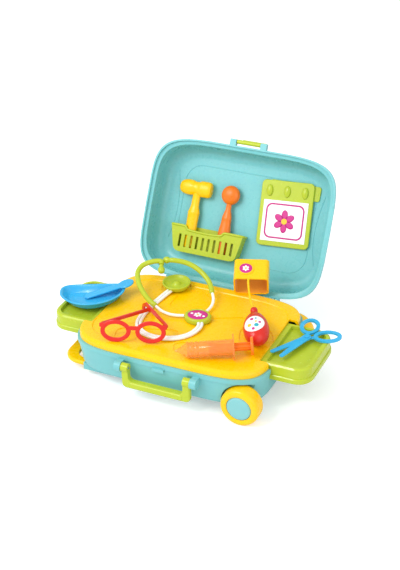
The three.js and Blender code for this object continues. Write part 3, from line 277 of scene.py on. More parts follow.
def fromCad(node, finish, slot, edge, sharpAngle, flatten):
    # a copy of the node's own mesh, joined up and with rounded edges
    mesh = frame["nodes"][node].data.copy()
    build = bmesh.new()
    build.from_mesh(mesh)
    bmesh.ops.remove_doubles(build, verts=build.verts, dist=weld["cad"] * mm)
    if flatten:
        bmesh.ops.dissolve_limit(build, angle_limit=radians(0.5), verts=build.verts, edges=build.edges)
    build.to_mesh(mesh)
    build.free()
    shadeSmooth(mesh, sharpAngle)
    piece = linked(node + "_moulding", mesh, finish, bodyOf[node])
    roundEdges(piece, edge, sharpAngle)
    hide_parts(node)


def closedUp(build):
    bmesh.ops.remove_doubles(build, verts=build.verts, dist=weld["drawn"])
    bmesh.ops.dissolve_degenerate(build, dist=weld["drawn"], edges=build.edges)
    bmesh.ops.recalc_face_normals(build, faces=build.faces)
    return build


def meshFrom(name, build, sharpAngle):
    mesh = bpy.data.meshes.new(name)
    build.to_mesh(mesh)
    build.free()
    shadeSmooth(mesh, sharpAngle)
    return mesh


def spinRound(route, steps):
    # a line of points, turned once round Z
    build = bmesh.new()
    points = [build.verts.new(point) for point in route]
    lines = [build.edges.new(pair) for pair in zip(points, points[1:])]
    bmesh.ops.spin(build, geom=points + lines, cent=(0, 0, 0), axis=(0, 0, 1), angle=2 * pi, steps=steps,
                   use_merge=True, dvec=(0, 0, 0), use_normal_flip=False, use_duplicate=False, space=Matrix())
    return build


def turned(profile, steps):
    # a body turned round Z from (radius, height) points
    return closedUp(spinRound([(radius, 0, height) for radius, height in profile], steps))


def turnedPiece(name, profile, finish, body, place, node, steps=96, sharpAngle=50):
    mesh = meshFrom(name, turned(profile, steps), sharpAngle)
    piece = linked(name, mesh, finish, body, place)
    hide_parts(node)
    return piece


def softened(profile, steps):
    # the same profile as a smooth curve through its points
    line = smoothLine([(radius, 0, height) for radius, height in profile], steps)
    return [(max(point.x, 0), point.z) for point in line]


def thicken(build, faces, thick):
    raised = bmesh.ops.extrude_face_region(build, geom=faces)["geom"]
    corners = [g for g in raised if isinstance(g, bmesh.types.BMVert)]
    bmesh.ops.translate(build, vec=(0, 0, thick), verts=corners)
    bmesh.ops.recalc_face_normals(build, faces=build.faces)


def roundRims(build, rims, edge, segments):
    bmesh.ops.bevel(build, geom=rims, offset=edge, segments=segments, profile=0.5, affect="EDGES", material=-1)


def levelEdges(build):
    return [e for e in build.edges if abs(e.verts[0].co.z - e.verts[1].co.z) < 1e-6]


def pressed(outline, thick, edge, segments=3):
    # a flat outline made thick from z = 0 up, with its edges rounded
    build = bmesh.new()
    face = build.faces.new([build.verts.new((x, y, 0)) for x, y in outline])
    thicken(build, [face], thick)
    roundRims(build, levelEdges(build), edge, segments)
    return build


def bridged(build, outerEdge, innerEdge):
    # the flat faces between two loops of equal count
    loops = []
    for outline in (outerEdge, innerEdge):
        points = [build.verts.new((x, y, 0)) for x, y in outline]
        loops += [build.edges.new((a, b)) for a, b in zip(points, points[1:] + points[:1])]
    return bmesh.ops.bridge_loops(build, edges=loops)["faces"]


def ringPlate(outerEdge, innerEdge, thick, edge=0.0, segments=3):
    # a plate with one hole
    build = bmesh.new()
    thicken(build, bridged(build, outerEdge, innerEdge), thick)
    if edge:
        rims = [e for e in levelEdges(build) if len(e.link_faces) == 2 and e.calc_face_angle(0) > radians(40)]
        roundRims(build, rims, edge, segments)
    return build


def oval(x, y, rx, ry, count=64):
    return [(x + rx * cos(2 * pi * i / count), y + ry * sin(2 * pi * i / count)) for i in range(count)]


def roundedOutline(x0, x1, y0, y1, corner, steps=6):
    points = []
    for cx, cy, start in ((x1 - corner, y0 + corner, -90), (x1 - corner, y1 - corner, 0),
                          (x0 + corner, y1 - corner, 90), (x0 + corner, y0 + corner, 180)):
        for i in range(steps + 1):
            angle = radians(start + 90 * i / steps)
            points.append((cx + corner * cos(angle), cy + corner * sin(angle)))
    return points


def merged(name, builds, sharpAngle):
    # several closed forms in one mesh, each moved by its own matrix
    whole = bmesh.new()
    for build, place in builds:
        part = bpy.data.meshes.new("part")
        build.to_mesh(part)
        build.free()
        part.transform(place)
        whole.from_mesh(part)
        bpy.data.meshes.remove(part)
    return meshFrom(name, whole, sharpAngle)


def smoothLine(route, steps):
    # a centripetal curve through given points
    points = [Vector(p) for p in route]
    points = [points[0] * 2 - points[1]] + points + [points[-1] * 2 - points[-2]]
    line = []
    for i in range(1, len(points) - 2):
        p0, p1, p2, p3 = points[i - 1:i + 3]
        t0 = 0.0
        t1 = t0 + sqrt((p1 - p0).length)
        t2 = t1 + sqrt((p2 - p1).length)
        t3 = t2 + sqrt((p3 - p2).length)
        for k in range(steps):
            t = t1 + (t2 - t1) * k / steps
            a1 = p0 * ((t1 - t) / (t1 - t0)) + p1 * ((t - t0) / (t1 - t0))
            a2 = p1 * ((t2 - t) / (t2 - t1)) + p2 * ((t - t1) / (t2 - t1))
            a3 = p2 * ((t3 - t) / (t3 - t2)) + p3 * ((t - t2) / (t3 - t2))
            b1 = a1 * ((t2 - t) / (t2 - t0)) + a2 * ((t - t0) / (t2 - t0))
            b2 = a2 * ((t3 - t) / (t3 - t1)) + a3 * ((t - t1) / (t3 - t1))
            line.append(b1 * ((t2 - t) / (t2 - t1)) + b2 * ((t - t1) / (t2 - t1)))
    line.append(points[-2])
    return line


def beside(route, offset):
    # the same route, moved to its left as seen from above
    moved = []
    for i, point in enumerate(route):
        before = Vector(route[max(i - 1, 0)])
        after = Vector(route[min(i + 1, len(route) - 1)])
        along = (after - before).to_2d().normalized()
        moved.append((point[0] - along.y * offset, point[1] + along.x * offset, point[2]))
    return moved


def roundRod(name, line, radius, closed=False):
    # a round rod along points that are already in metres
    curve = bpy.data.curves.new(name, "CURVE")
    curve.dimensions = "3D"
    curve.bevel_depth = radius * mm
    curve.bevel_resolution = 5
    curve.use_fill_caps = not closed
    spline = curve.splines.new("POLY")
    spline.points.add(len(line) - 1)
    for point, place in zip(spline.points, line):
        point.co = (*place, 1)
    spline.use_cyclic_u = closed
    spline.use_smooth = True
    holder = bpy.data.objects.new(name, curve)
    bpy.context.scene.collection.objects.link(holder)
    bpy.context.view_layer.update()
    mesh = bpy.data.meshes.new_from_object(holder.evaluated_get(bpy.context.evaluated_depsgraph_get()))
    bpy.data.objects.remove(holder)
    mesh.name = name
    shadeSmooth(mesh, 60)
    return mesh


# The camera and the hoses come first, because how far the hoses spread is judged in its view

# Fitted to the rims of base and lid: places in the case's frame, roll in degrees,
# and the focal length as a share of the photo's long side
view = {"place": (885.2, -1810.8, 1285.7), "target": (107.36, -181.35, 210.86), "roll": -1.61,
        "focalShare": 1332.65 / 570, "sensor": 36, "near": 0.05, "far": 50}


def setCamera():
    place = toCase @ Vector(view["place"])
    target = toCase @ Vector(view["target"])
    forward = (target - place).normalized()
    right = forward.cross(Vector((0, 0, 1))).normalized()
    up = right.cross(forward)
    roll = radians(view["roll"])
    rolledRight = right * cos(roll) + up * sin(roll)
    rolledUp = up * cos(roll) - right * sin(roll)
    data = bpy.data.cameras.new("photo view")
    data.sensor_width = view["sensor"]
    data.lens = data.sensor_width * view["focalShare"]
    data.clip_start = view["near"]
    data.clip_end = view["far"]
    camera = bpy.data.objects.new("photo view", data)
    axes = Matrix((rolledRight, rolledUp, -forward)).transposed()
    camera.matrix_world = Matrix.Translation(place) @ axes.to_4x4()
    bpy.context.scene.collection.objects.link(camera)
    bpy.context.scene.camera = camera


setCamera()

# Routes in the case's frame; the chest pair lies to both sides of one route
hoses = {
    "chest": {"radius": 2.75, "apart": 6.2, "route": [
        (23.1, -8.8, 17.5), (25.4, -14, 17.4), (26.4, -25, 16.8), (21, -42, 14.8), (8, -60, 14.6),
        (-14, -72, 14.6), (-40, -76, 14.6), (-64, -68, 14.6), (-80, -48, 14.6), (-86, -22, 14.6), (-86, 8, 14.6),
        (-83, 36, 14.8), (-79, 60, 16), (-75.8, 77.4, 16.6)]},
    "left": {"radius": 2.75, "route": [
        (-70.9, 5, 23.1), (-67, 3.2, 22.2), (-56, -1.5, 20), (-38, -3.5, 18.4), (-24, 0, 17.6),
        (-14.3, 3.6, 17.5)]},
    "right": {"radius": 2.75, "route": [
        (7.9, 78.4, 27.2), (10.3, 75, 26.2), (15.5, 66, 23.4), (18.6, 54, 20), (18.6, 43, 18),
        (17, 31.2, 17.5)]},
    "cuff": {"radius": 2.0, "route": [
        (69.5, 102.3, 59), (71, 97.5, 56.8), (75.5, 88.5, 50.4), (82, 77, 43.6), (89, 65.5, 39),
        (95.5, 55.5, 37.6), (100.6, 48.7, 38), (103.9, 44.2, 38.5), (105.26, 41.55, 38.73)]},
}


def hose(name, route, radius, finish, node, body=None):
    line = [toCase @ p for p in smoothLine(route, steps=6)]
    piece = linked(name, roundRod(name, line, radius), finish, body)
    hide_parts(node)
    return piece, line


def stethoscopeHose(name, route, radius, node):
    piece, line = hose(name, route, radius, "whiteHose", node, "base")


def cuffHose():
    spec = hoses["cuff"]
    piece, line = hose("cuff_hose", spec["route"], spec["radius"], "yellow", "cuff_tube")
    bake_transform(piece)


def allHoses():
    chest = hoses["chest"]
    for side, offset in (("inner", 1), ("outer", -1)):
        route = beside(chest["route"], offset * chest["apart"] / 2)
        stethoscopeHose("chest_hose_" + side, route, chest["radius"], "chest_tube_" + side)
    for side in ("left", "right"):
        spec = hoses[side]
        stethoscopeHose("headset_hose_" + side, spec["route"], spec["radius"], "headset_tube_" + side)
    cuffHose()


allHoses()
print("hoses made")


# Plain mouldings take their form from the frame and get rounded edges here:
# finish, slot, edge in mm, angle above which an edge is sharp, whether flat faces are joined first
mouldings = {
    "base_shell": ("turquoise", "turquoise", 0.8, 30, True),
    "lid_shell": ("lidTurquoise", "turquoise", 0.8, 30, True),
    "instrument_tray": ("yellow", "yellow", 0.6, 30, True),
    "lid_latch": ("lime", "lime", 0.5, 30, True),
    "latch_pin": ("steel", "steel", 0.2, 40, True),
    "hinge_pin_left": ("steel", "steel", 0.2, 40, True),
    "hinge_pin_right": ("steel", "steel", 0.2, 40, True),
    "handle_pin_left": ("steel", "steel", 0.3, 40, True),
    "handle_pin_right": ("steel", "steel", 0.3, 40, True),
    "wheel_axle": ("steel", "steel", 0.3, 40, True),
    "foot_front": ("turquoise", "turquoise", 0.8, 30, True),
    "foot_back": ("turquoise", "turquoise", 0.8, 30, True),
    "carry_handle": ("lime", "lime", 1.2, 30, True),
    "side_drawer_left": ("lime", "lime", 1.0, 30, True),
    "side_drawer_right": ("lime", "lime", 1.0, 30, True),
    "trolley_handle": ("yellow", "yellow", 1.2, 30, True),
    "lid_basket": ("lime", "lime", 0.4, 30, False),
    "clipboard_bracket": ("lime", "lime", 0.5, 30, True),
    "clipboard_plate": ("lime", "lime", 0.6, 30, True),
    "clipboard_card": ("card", "card", 0.1, 30, True),
    "arm_cuff": ("yellow", "yellow", 0.6, 40, True),
    "scissor_lower": ("blue", "blue", 0.45, 30, True),
    "scissor_upper": ("blue", "blue", 0.45, 30, True),
    "scissor_rivet": ("blue", "blue", 0.2, 30, True),
    "temple_left": ("red", "red", 0.7, 30, True),
    "temple_right": ("red", "red", 0.7, 30, True),
    "spatula": ("blue", "blue", 0.5, 30, True),
}
for node, looks in mouldings.items():
    fromCad(node, *looks)
print("mouldings made:", len(mouldings))


# Wheels

# Profiles from the outer face, which lies at faceOut, inwards
wheel = {"faceOut": 139, "tread": [
    (22.9, 0.9), (24.2, 0), (29, 0), (31.6, 0.6), (33.9, 2.4), (35, 5), (35.3, 8), (35.3, 22), (35, 25),
    (33.9, 27.6), (31.6, 29.4), (29, 30), (22.9, 30), (22.9, 0.9)],
    "disc": [(0, -1.1), (17.8, -1.1), (19.6, -0.9), (21, -0.2), (22, 1), (22.6, 2.6), (22.6, 30), (3.4, 30),
             (3.4, 10), (0, 10)]}


def wheels():
    x, y, z = caseFrame["axle"]
    for name, side in (("front", -1), ("back", 1)):
        place = toCase @ move(x, side * wheel["faceOut"], z) @ turn("X", 90 * side)
        for node, part, finish, slot in (("tyre_", "tread", "yellow", "yellow"),
                                         ("hub_", "disc", "hubTurquoise", "turquoise")):
            turnedPiece(node + name + "_turned", wheel[part], finish, "wheel_" + name, place, node + name)


wheels()


# Stethoscope: junction, chestpiece, sprung arms and ear tips

junction = {"x": 10, "y": 10, "z": 11.7, "flat": 0.86, "top": 9.7, "profile": [
    (0, 0), (23, 0), (24.6, 0.8), (25, 2.2), (24.9, 6), (24, 8.6), (22.3, 10.1), (20.4, 10.5), (19.6, 10.3),
    (19.1, 9.7), (0, 9.7)]}
chestpiece = {"x": -73, "y": 95.5, "z": 10.5, "profile": [
    (0, 1.5), (11.9, 1.5), (11.9, 0), (14, 0), (17, 0.8), (20.2, 2.8), (22.8, 5.6), (24.6, 8.6), (25.8, 11),
    (26.4, 12.4), (26.5, 13.6), (25.8, 14.6), (24.8, 14.8), (23.6, 14), (21.8, 11.4), (19.4, 9.4), (16, 8.6),
    (10.4, 8.5), (8.2, 9.1), (6.4, 11), (5, 13.2), (2.8, 14.4), (0, 14.7)]}
diaphragm = {"profile": [(0, 0), (11.6, 0), (11.6, 1), (11.2, 1.2), (0, 1.2)]}
headset = {"radius": 4.8, "knuckle": 4.9, "routes": {
    "left": [(-75, 7, 24.2), (-84, 10.6, 26), (-98, 19, 30), (-114, 32, 35.5), (-128, 48, 42), (-136, 64, 49),
             (-134, 80, 54.5), (-124, 91, 57.5), (-112, 97.5, 59.3), (-104.5, 99, 58.8), (-102.6, 94.8, 55.6)],
    "right": [(5.2, 82, 28.2), (1, 89, 31), (-7, 98, 36.5), (-20, 106, 44), (-36, 110.5, 52),
              (-54, 111.5, 58.5), (-68.5, 108.5, 62), (-77.8, 105.3, 63.6), (-84, 103.6, 63.9),
              (-87.5, 104.8, 62.6)]}}
earTip = {"gap": 0.3, "profile": [
    (0, 0), (3.2, 0), (3.7, 0.6), (3.8, 3), (3.9, 5), (5, 6.6), (6.2, 8.4), (6.5, 10.4), (6.4, 13), (5.7, 15.6),
    (4.2, 17.2), (2.2, 17.9), (0, 18)]}


def stethoscopeBody():
    place = toCase @ move(junction["x"], junction["y"], junction["z"]) @ stretch(1, junction["flat"], 1)
    turnedPiece("stethoscope_junction_body", junction["profile"], "lime", "base", place,
                "stethoscope_junction")
    place = toCase @ move(chestpiece["x"], chestpiece["y"], chestpiece["z"])
    turnedPiece("chestpiece_bell", chestpiece["profile"], "lime", "base", place, "chestpiece",
                sharpAngle=55)
    turnedPiece("chestpiece_skin", diaphragm["profile"], "whiteHose", "base", place,
                "chestpiece_diaphragm", steps=64, sharpAngle=40)


def headsetArm(side, route):
    # a sprung arm with a ball where its hose goes in
    name = "headset_arm_" + side + "_rod"
    line = [toCase @ p for p in smoothLine(route, steps=6)]
    rod = roundRod(name, line, headset["radius"])
    build = bmesh.new()
    build.from_mesh(rod)
    bmesh.ops.create_uvsphere(build, u_segments=24, v_segments=16, radius=headset["knuckle"] * mm,
                              matrix=Matrix.Translation(line[0]))
    build.to_mesh(rod)
    build.free()
    shadeSmooth(rod, 60)
    piece = linked(name, rod, "lime", "headset")
    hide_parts("headset_arm_" + side)


def earBud(side, route):
    # the tip goes on along the last stretch of its arm
    end, before = Vector(route[-1]), Vector(route[-2])
    along = (end - before).normalized()
    place = toCase @ Matrix.Translation(end + along * earTip["gap"]) @ facing(along)
    turnedPiece("ear_tip_" + side + "_bud", earTip["profile"], "lime", "headset", place,
                "ear_tip_" + side, steps=48, sharpAngle=60)


stethoscopeBody()
for side, route in headset["routes"].items():
    headsetArm(side, route)
    earBud(side, route)
print("stethoscope made")


# Squeeze bulb and valve knob

# The bulb's profile is in shares of its radius and of half its length; the knob's is in mm
bulb = {"x": 130, "y": -7, "z": 32.04, "heading": 117, "tilt": 7, "radius": 23, "half": 40, "flat": 0.88,
        "shares": [
            (0, -1), (0.3, -0.965), (0.56, -0.875), (0.78, -0.72), (0.92, -0.5), (0.985, -0.27), (1, -0.05),
            (0.97, 0.15), (0.9, 0.34), (0.78, 0.54), (0.6, 0.75), (0.44, 0.88), (0.33, 0.95), (0.31, 1), (0, 1)],
        "knob": [
            (0, 0.3), (4.4, 0.3), (4, 1.8), (4, 3), (5.2, 4.4), (6.4, 5.8), (6.7, 7.4), (6.6, 10.4),
            (5.9, 12.6), (4.2, 13.8), (2, 14.3), (0, 14.3)]}
bulbMiddle = toCase @ move(bulb["x"], bulb["y"], bulb["z"])
bulbPlace = bulbMiddle @ turn("Z", bulb["heading"]) @ turn("Y", -bulb["tilt"])


def squeezeBulb():
    # the last two points are the flat end under the knob and stay sharp
    profile = [(r * bulb["radius"], h * bulb["half"]) for r, h in bulb["shares"]]
    profile = softened(profile[:-2], steps=3) + profile[-2:]
    skin = turnedPiece("squeeze_bulb_skin", profile, "red", "base",
                       bulbPlace @ stretch(1, 1, bulb["flat"]) @ turn("Y", 90), "squeeze_bulb", sharpAngle=70)
    turnedPiece("valve_knob_turned", bulb["knob"], "red", "base",
                bulbPlace @ move(bulb["half"], 0, 0) @ turn("Y", 90), "bulb_valve_knob", steps=48, sharpAngle=60)
    return skin


bulbSkin = squeezeBulb()


# Reflex hammer and round-headed probe in the basket

# Both lie in the lid at one height; a grip's profile runs from the neck down to the foot
toolHeight = 50.8
hammer = {"x": -101.01, "y": -40.96, "shift": 4, "flat": 0.66, "head": [
    (0, -33), (4.2, -32.7), (7.8, -31.5), (10.8, -29), (13, -25.2), (14.3, -20), (15.1, -13), (14.7, -7),
    (13.3, -3), (12.5, 0), (12.6, 4), (12.9, 6.4), (14.5, 9.2), (15.4, 11.8), (15.5, 14), (15.5, 24),
    (15.4, 26.4), (14.8, 29.6), (13.2, 32.2), (11.2, 33), (0, 33)],
    "neck": -35.36, "flatGrip": 0.64, "grip": [
    (8, 0), (7.8, 13), (8, 27), (9, 32), (10.8, 37.2), (11.9, 40.6), (12.2, 42), (11.7, 43.2), (11.5, 50),
    (11.2, 60), (11.5, 80), (12, 104), (11.5, 107), (9.6, 111.4), (7, 111.42)]}
probe = {"x": -32.0, "y": -39.5, "radius": 18.5, "flat": 0.57, "neck": -31.0, "flatGrip": 0.66, "grip": [
    (5.5, 0), (5.2, 10), (5.5, 20), (7.2, 26), (9, 32), (9.6, 36), (9.8, 37), (9.4, 38.2), (9.9, 46),
    (11.4, 56), (12.4, 66), (12.5, 90), (12.3, 103), (11.4, 106), (10, 107.04), (7, 107.06)]}


def toolHandle(spec, name, finish):
    profile = [(0, 0)] + spec["grip"] + [(0, spec["grip"][-1][1])]
    place = toLid @ move(spec["x"], spec["neck"], toolHeight) @ stretch(1, 1, spec["flatGrip"]) @ turn("X", -90)
    turnedPiece(name + "_handle_turned", profile, finish, name, place, name + "_handle", steps=64)


def reflexHammer():
    place = (toLid @ move(hammer["x"] - hammer["shift"], hammer["y"], toolHeight)
             @ stretch(1, 1, hammer["flat"]) @ turn("Y", 90))
    turnedPiece("hammer_head_turned", hammer["head"], "yellow", "hammer", place, "hammer_head",
                sharpAngle=60)
    toolHandle(hammer, "hammer", "yellow")


def roundProbe():
    build = bmesh.new()
    bmesh.ops.create_uvsphere(build, u_segments=64, v_segments=40, radius=probe["radius"])
    place = toLid @ move(probe["x"], probe["y"], toolHeight) @ stretch(1, 1, probe["flat"])
    mesh = meshFrom("probe_head_turned", closedUp(build), 80)
    piece = linked("probe_head_turned", mesh, "orange", "probe", place)
    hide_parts("probe_head")
    toolHandle(probe, "probe", "orange")


reflexHammer()
roundProbe()
print("bulb, hammer and probe made")


# Painted shade of the arm cuff: a thin darker orange sleeve on its inner wall, standing in for the yellow plastic
# in shadow

# one entry is the thickness of the painted-shade sleeve inside the cuff
cuff = {"x": 66, "y": 124.4, "z": 13.3, "heading": 19.7, "rise": 24.8, "halfWidth": 32, "high": 50,
        "long": 43.4, "wall": 2.6, "corner": 8, "shadeSleeve": 0.5, "clear": 0.02, "short": 1.2}
cuffPlace = (toCase @ move(cuff["x"], cuff["y"], cuff["z"]) @ turn("Z", cuff["heading"])
             @ turn("X", 90 + cuff["rise"]))


def cuffOutline(inset):
    half = cuff["halfWidth"] - inset
    return roundedOutline(-half, half, inset, cuff["high"] - inset, cuff["corner"] - inset)


def cuffShadeSleeve():
    outside = cuffOutline(cuff["wall"] + cuff["clear"])
    inside = cuffOutline(cuff["wall"] + cuff["shadeSleeve"])
    sleeve = ringPlate(outside, inside, cuff["long"] - 2 * cuff["short"])
    # a darker orange sleeve, painted as the shade inside the yellow cuff
    mesh = meshFrom("cuff_lining", closedUp(sleeve), 50)
    linked("cuff_lining", mesh, "shadeSleeve", "cuff", cuffPlace @ move(0, 0, cuff["short"] - cuff["long"]))


cuffShadeSleeve()
print("cuff shade sleeve made")


# Syringe

# Lengths run from the tip of the nose; the plunger's disc and seal have their profiles from their own middle
syringe = {"tip": (26, -118, 26.35), "heading": 25, "slope": 2.92, "long": 102, "nose": [
    (0, 0), (1.4, 0.1), (1.9, 0.8), (2.2, 2.6), (4, 6), (7.4, 12), (11, 17), (12.6, 18.6), (13.8, 19.8),
    (14.2, 21), (14.2, 22.6), (13.1, 24.4), (13.1, 26.4), (14.2, 28.6), (14.2, 30.6), (13.1, 32.4), (13.1, 34.4),
    (14.2, 36.6), (14.2, 38.6), (13.1, 40.4), (13.1, 42.4), (14.2, 44.6), (14.2, 102)],
    "bore": 12.4, "boreEnd": 21, "flange": (23.3, 15), "flangeHole": (13.6, 13.6), "flangeTurn": 45,
    "flangeThick": 3, "flangeEdge": 0.7}
plunger = {"rod": 4.2, "rodStart": 66.3, "web": (-8, 8, -1, 1), "webEdge": 0.3, "discAt": 132, "disc": [
    (0, -2.5), (14.6, -2.5), (15.6, -2.1), (16, -1.1), (16, 1.1), (15.6, 2.1), (14.6, 2.5), (12, 2.5),
    (11.2, 1.9), (0, 1.9)],
    "sealAt": 62, "seal": [
    (0, -4), (10.8, -4), (11.8, -3.2), (11.8, -2.2), (11, -1.4), (11, 1.4), (11.8, 2.2), (11.8, 3.2),
    (10.8, 4), (0, 4)]}
syringePlace = toCase @ move(*syringe["tip"]) @ turn("Z", syringe["heading"]) @ turn("Y", 90 - syringe["slope"])


def syringeBarrel():
    s = syringe
    tube = s["nose"] + [(s["bore"], s["long"]), (s["bore"], s["boreEnd"]), (0, s["boreEnd"])]
    wings = ringPlate(oval(0, 0, *s["flange"]), oval(0, 0, *s["flangeHole"]), s["flangeThick"], s["flangeEdge"])
    wingsPlace = move(0, 0, s["long"] - s["flangeThick"]) @ turn("Z", -s["flangeTurn"])
    mesh = merged("syringe_barrel_clear", [(turned(tube, 96), Matrix()), (wings, wingsPlace)], 50)
    piece = linked("syringe_barrel_clear", mesh, "clearOrange", "syringe", syringePlace)
    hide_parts("syringe_barrel")


def syringePlunger():
    p = plunger
    start, end = p["rodStart"], p["discAt"]
    forms = [(turned([(0, start), (p["rod"], start), (p["rod"], end), (0, end)], 48), Matrix()),
             (turned([(r, end + h) for r, h in p["disc"]], 96), Matrix())]
    x0, x1, y0, y1 = p["web"]
    for angle in (0, 90):
        web = pressed([(x0, y0), (x1, y0), (x1, y1), (x0, y1)], end - start, p["webEdge"], segments=2)
        forms.append((web, move(0, 0, start) @ turn("Z", angle)))
    mesh = merged("syringe_plunger_rod", forms, 40)
    piece = linked("syringe_plunger_rod", mesh, "orange", "plunger", syringePlace)
    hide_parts("syringe_plunger")
    turnedPiece("plunger_seal_turned", [(r, p["sealAt"] + h) for r, h in p["seal"]], "orange",
                "plunger", syringePlace, "plunger_seal")


syringeBarrel()
syringePlunger()
print("syringe made")


# Toy glasses: thick rounded rims

# Lugs and bridge are a little thinner than the rims, by lugBack and bridgeBack on each face
glasses = {"x": -62, "y": -105, "z": 12.85, "heading": 17.5, "lean": 22, "thick": 3.8, "edge": 1.3,
           "rimAt": (31, 19.5), "outer": (27, 19.5), "inner": (19.2, 12), "lug": (46.5, 60, 25, 33, 2),
           "lugBack": 0.15, "bridge": (-13, 13, 21.5, 29, 2.5), "bridgeBack": 0.2}


def thinnerForm(outline, back):
    form = pressed(outline, glasses["thick"] - 2 * back, glasses["edge"])
    return form, move(0, 0, back)


def glassesFront():
    g = glasses
    forms = []
    for side in (-1, 1):
        x, y = side * g["rimAt"][0], g["rimAt"][1]
        rim = ringPlate(oval(x, y, *g["outer"]), oval(x, y, *g["inner"]), g["thick"], g["edge"], segments=4)
        forms.append((rim, Matrix()))
        x0, x1, y0, y1, corner = g["lug"]
        ends = (x0, x1) if side > 0 else (-x1, -x0)
        forms.append(thinnerForm(roundedOutline(*ends, y0, y1, corner), g["lugBack"]))
    forms.append(thinnerForm(roundedOutline(*g["bridge"]), g["bridgeBack"]))
    mesh = merged("glasses_front_frame", forms, 50)
    place = (toCase @ move(g["x"], g["y"], g["z"]) @ turn("Z", g["heading"]) @ move(0, g["thick"] / 2, 0)
             @ turn("X", 90 - g["lean"]))
    piece = linked("glasses_front_frame", mesh, "red", "glasses", place)
    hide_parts("glasses_front")


glassesFront()


# Kidney dish with a rolled rim and a flat floor

# Each ring is an inset from the outline and a height: up the outside, over the rim and down to the floor
dish = {"x": -199, "y": 0, "z": 11.05, "tilt": 3.4, "heading": 20, "halfLength": 61, "halfWidth": 38,
        "bend": 17, "endRound": 0.8, "widthInset": 0.9, "around": 96, "rings": [
            (15, 0), (12, 0.6), (10.4, 2.4), (6.6, 11.6), (5.4, 12.8), (1, 13.6), (0, 14.2), (0, 15.2),
            (0.8, 15.9), (1.8, 16), (3, 16), (4.2, 15.6), (5.4, 14.4), (7.5, 11.6), (13.4, 4.4), (15, 3.3),
            (18, 3), (19.4, 3.1), (20.2, 3.7), (21.4, 3.7), (22.2, 3.1), (24, 3)]}


def kidneyRing(build, inset, z):
    ring = bmesh.ops.create_circle(build, cap_ends=False, segments=dish["around"], radius=1)["verts"]
    for vert in ring:
        x, y = vert.co.x, vert.co.y
        swell = (1 if y >= 0 else -1) * abs(y) ** dish["endRound"]
        vert.co = ((dish["halfLength"] - inset) * x,
                   (dish["halfWidth"] - inset * dish["widthInset"]) * swell + dish["bend"] * (x * x - 0.5), z)
    return ring


def kidneyDish():
    build = bmesh.new()
    rings = [kidneyRing(build, inset, z) for inset, z in dish["rings"]]
    for low, high in zip(rings, rings[1:]):
        for i in range(dish["around"]):
            build.faces.new((low[i - 1], low[i], high[i], high[i - 1]))
    build.faces.new(rings[0])
    build.faces.new(rings[-1])
    mesh = meshFrom("kidney_dish_bowl", closedUp(build), 60)
    place = toCase @ move(dish["x"], dish["y"], dish["z"]) @ turn("Y", -dish["tilt"]) @ turn("Z", dish["heading"])
    piece = linked("kidney_dish_bowl", mesh, "blue", "dish", place)
    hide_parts("kidney_dish")


kidneyDish()
print("glasses and dish made")


# Lid details: panel lines on the ceiling and the rolled lip of the basket

panel = {"beadRadius": 0.9, "proud": 0.1, "frame": (-134, 134, -86, 84, 34), "arcs": [
    [(-150, -70), (-143, -30), (-141, 0), (-143, 30), (-150, 62)],
    [(150, -70), (143, -30), (141, 0), (143, 30), (150, 62)]]}
lip = {"radius": 2.5, "path": [
    (-137.4, 34.6, 60.2), (-137.4, 34.2, 50), (-136.8, 33.8, 43), (-132.6, 33.6, 40.6), (-112, 33.6, 40.6),
    (-107.6, 34.6, 40.6), (-104.6, 38.4, 40.6), (-100, 40.4, 40.6), (-36, 40.4, 40.6), (-31.6, 38.4, 40.6),
    (-28.6, 34.6, 40.6), (-24, 33.6, 40.6), (6, 33.6, 40.6), (10, 33.8, 43), (10.6, 34.2, 50),
    (10.4, 34.6, 60.2)]}


def lidBead(name, line, closed=False):
    mesh = roundRod(name, line, panel["beadRadius"], closed)
    linked(name, mesh, "lidTurquoise", "lid")


def lidDetails():
    z = caseFrame["ceiling"] + panel["proud"]
    outline = [toLid @ Vector((x, y, z)) for x, y in roundedOutline(*panel["frame"], steps=12)]
    lidBead("lid_panel_line", outline, closed=True)
    for name, arc in zip(("left", "right"), panel["arcs"]):
        line = smoothLine([(x, y, z) for x, y in arc], steps=8)
        lidBead("lid_panel_arc_" + name, [toLid @ p for p in line])
    line = [toLid @ p for p in smoothLine(lip["path"], steps=5)]
    linked("basket_lip", roundRod("basket_lip", line, lip["radius"]), "lime", "lid")


lidDetails()


# Stickers: plain flower and dot designs on the places where the toy has its labels

# In mm; a label's size is its half widths, and a dot or heart is its x, y and radius on the label
stickers = {"thick": 0.12, "lift": 0.08, "layerStep": 0.144, "castFrom": 30}
flower = {"petals": 6, "petal": (0.23, 0.34), "petalAt": 0.46}  # shares of the flower's size


def surfaceOf(piece):
    bpy.context.view_layer.update()
    return BVHTree.FromObject(piece, bpy.context.evaluated_depsgraph_get())


def stick(name, forms, place, finish, body, surface=None, layer=0):
    # lays flat forms on the plane of their place, or on a surface under it, along the local -Z
    mesh = merged(name, forms, 60)
    mesh.transform(place)
    down = (place.to_3x3() @ Vector((0, 0, -1))).normalized()
    rise = (stickers["lift"] + layer * stickers["layerStep"]) * mm
    if surface is not None:
        for vert in mesh.vertices:
            hit = surface.ray_cast(vert.co - down * stickers["castFrom"] * mm, down)
            if hit[0] is not None:
                vert.co = hit[0] - down * rise
    else:
        mesh.transform(Matrix.Translation(-down * rise))
    piece = linked(name, mesh, finish, body)
    solid = piece.modifiers.new("paper", "SOLIDIFY")
    solid.thickness = stickers["thick"] * mm
    solid.offset = 1


def faceUp(build):
    for face in build.faces:
        face.normal_update()
        if face.normal.z < 0:
            face.normal_flip()


def flatDisc(rx, ry, x=0, y=0, rings=6, count=48):
    build = spinRound([(i / rings, 0, 0) for i in range(rings + 1)], count)
    bmesh.ops.remove_doubles(build, verts=build.verts, dist=weld["disc"])
    bmesh.ops.dissolve_degenerate(build, dist=weld["disc"], edges=build.edges)
    faceUp(build)
    bmesh.ops.transform(build, matrix=move(x, y, 0) @ stretch(rx, ry, 1), verts=build.verts)
    return build


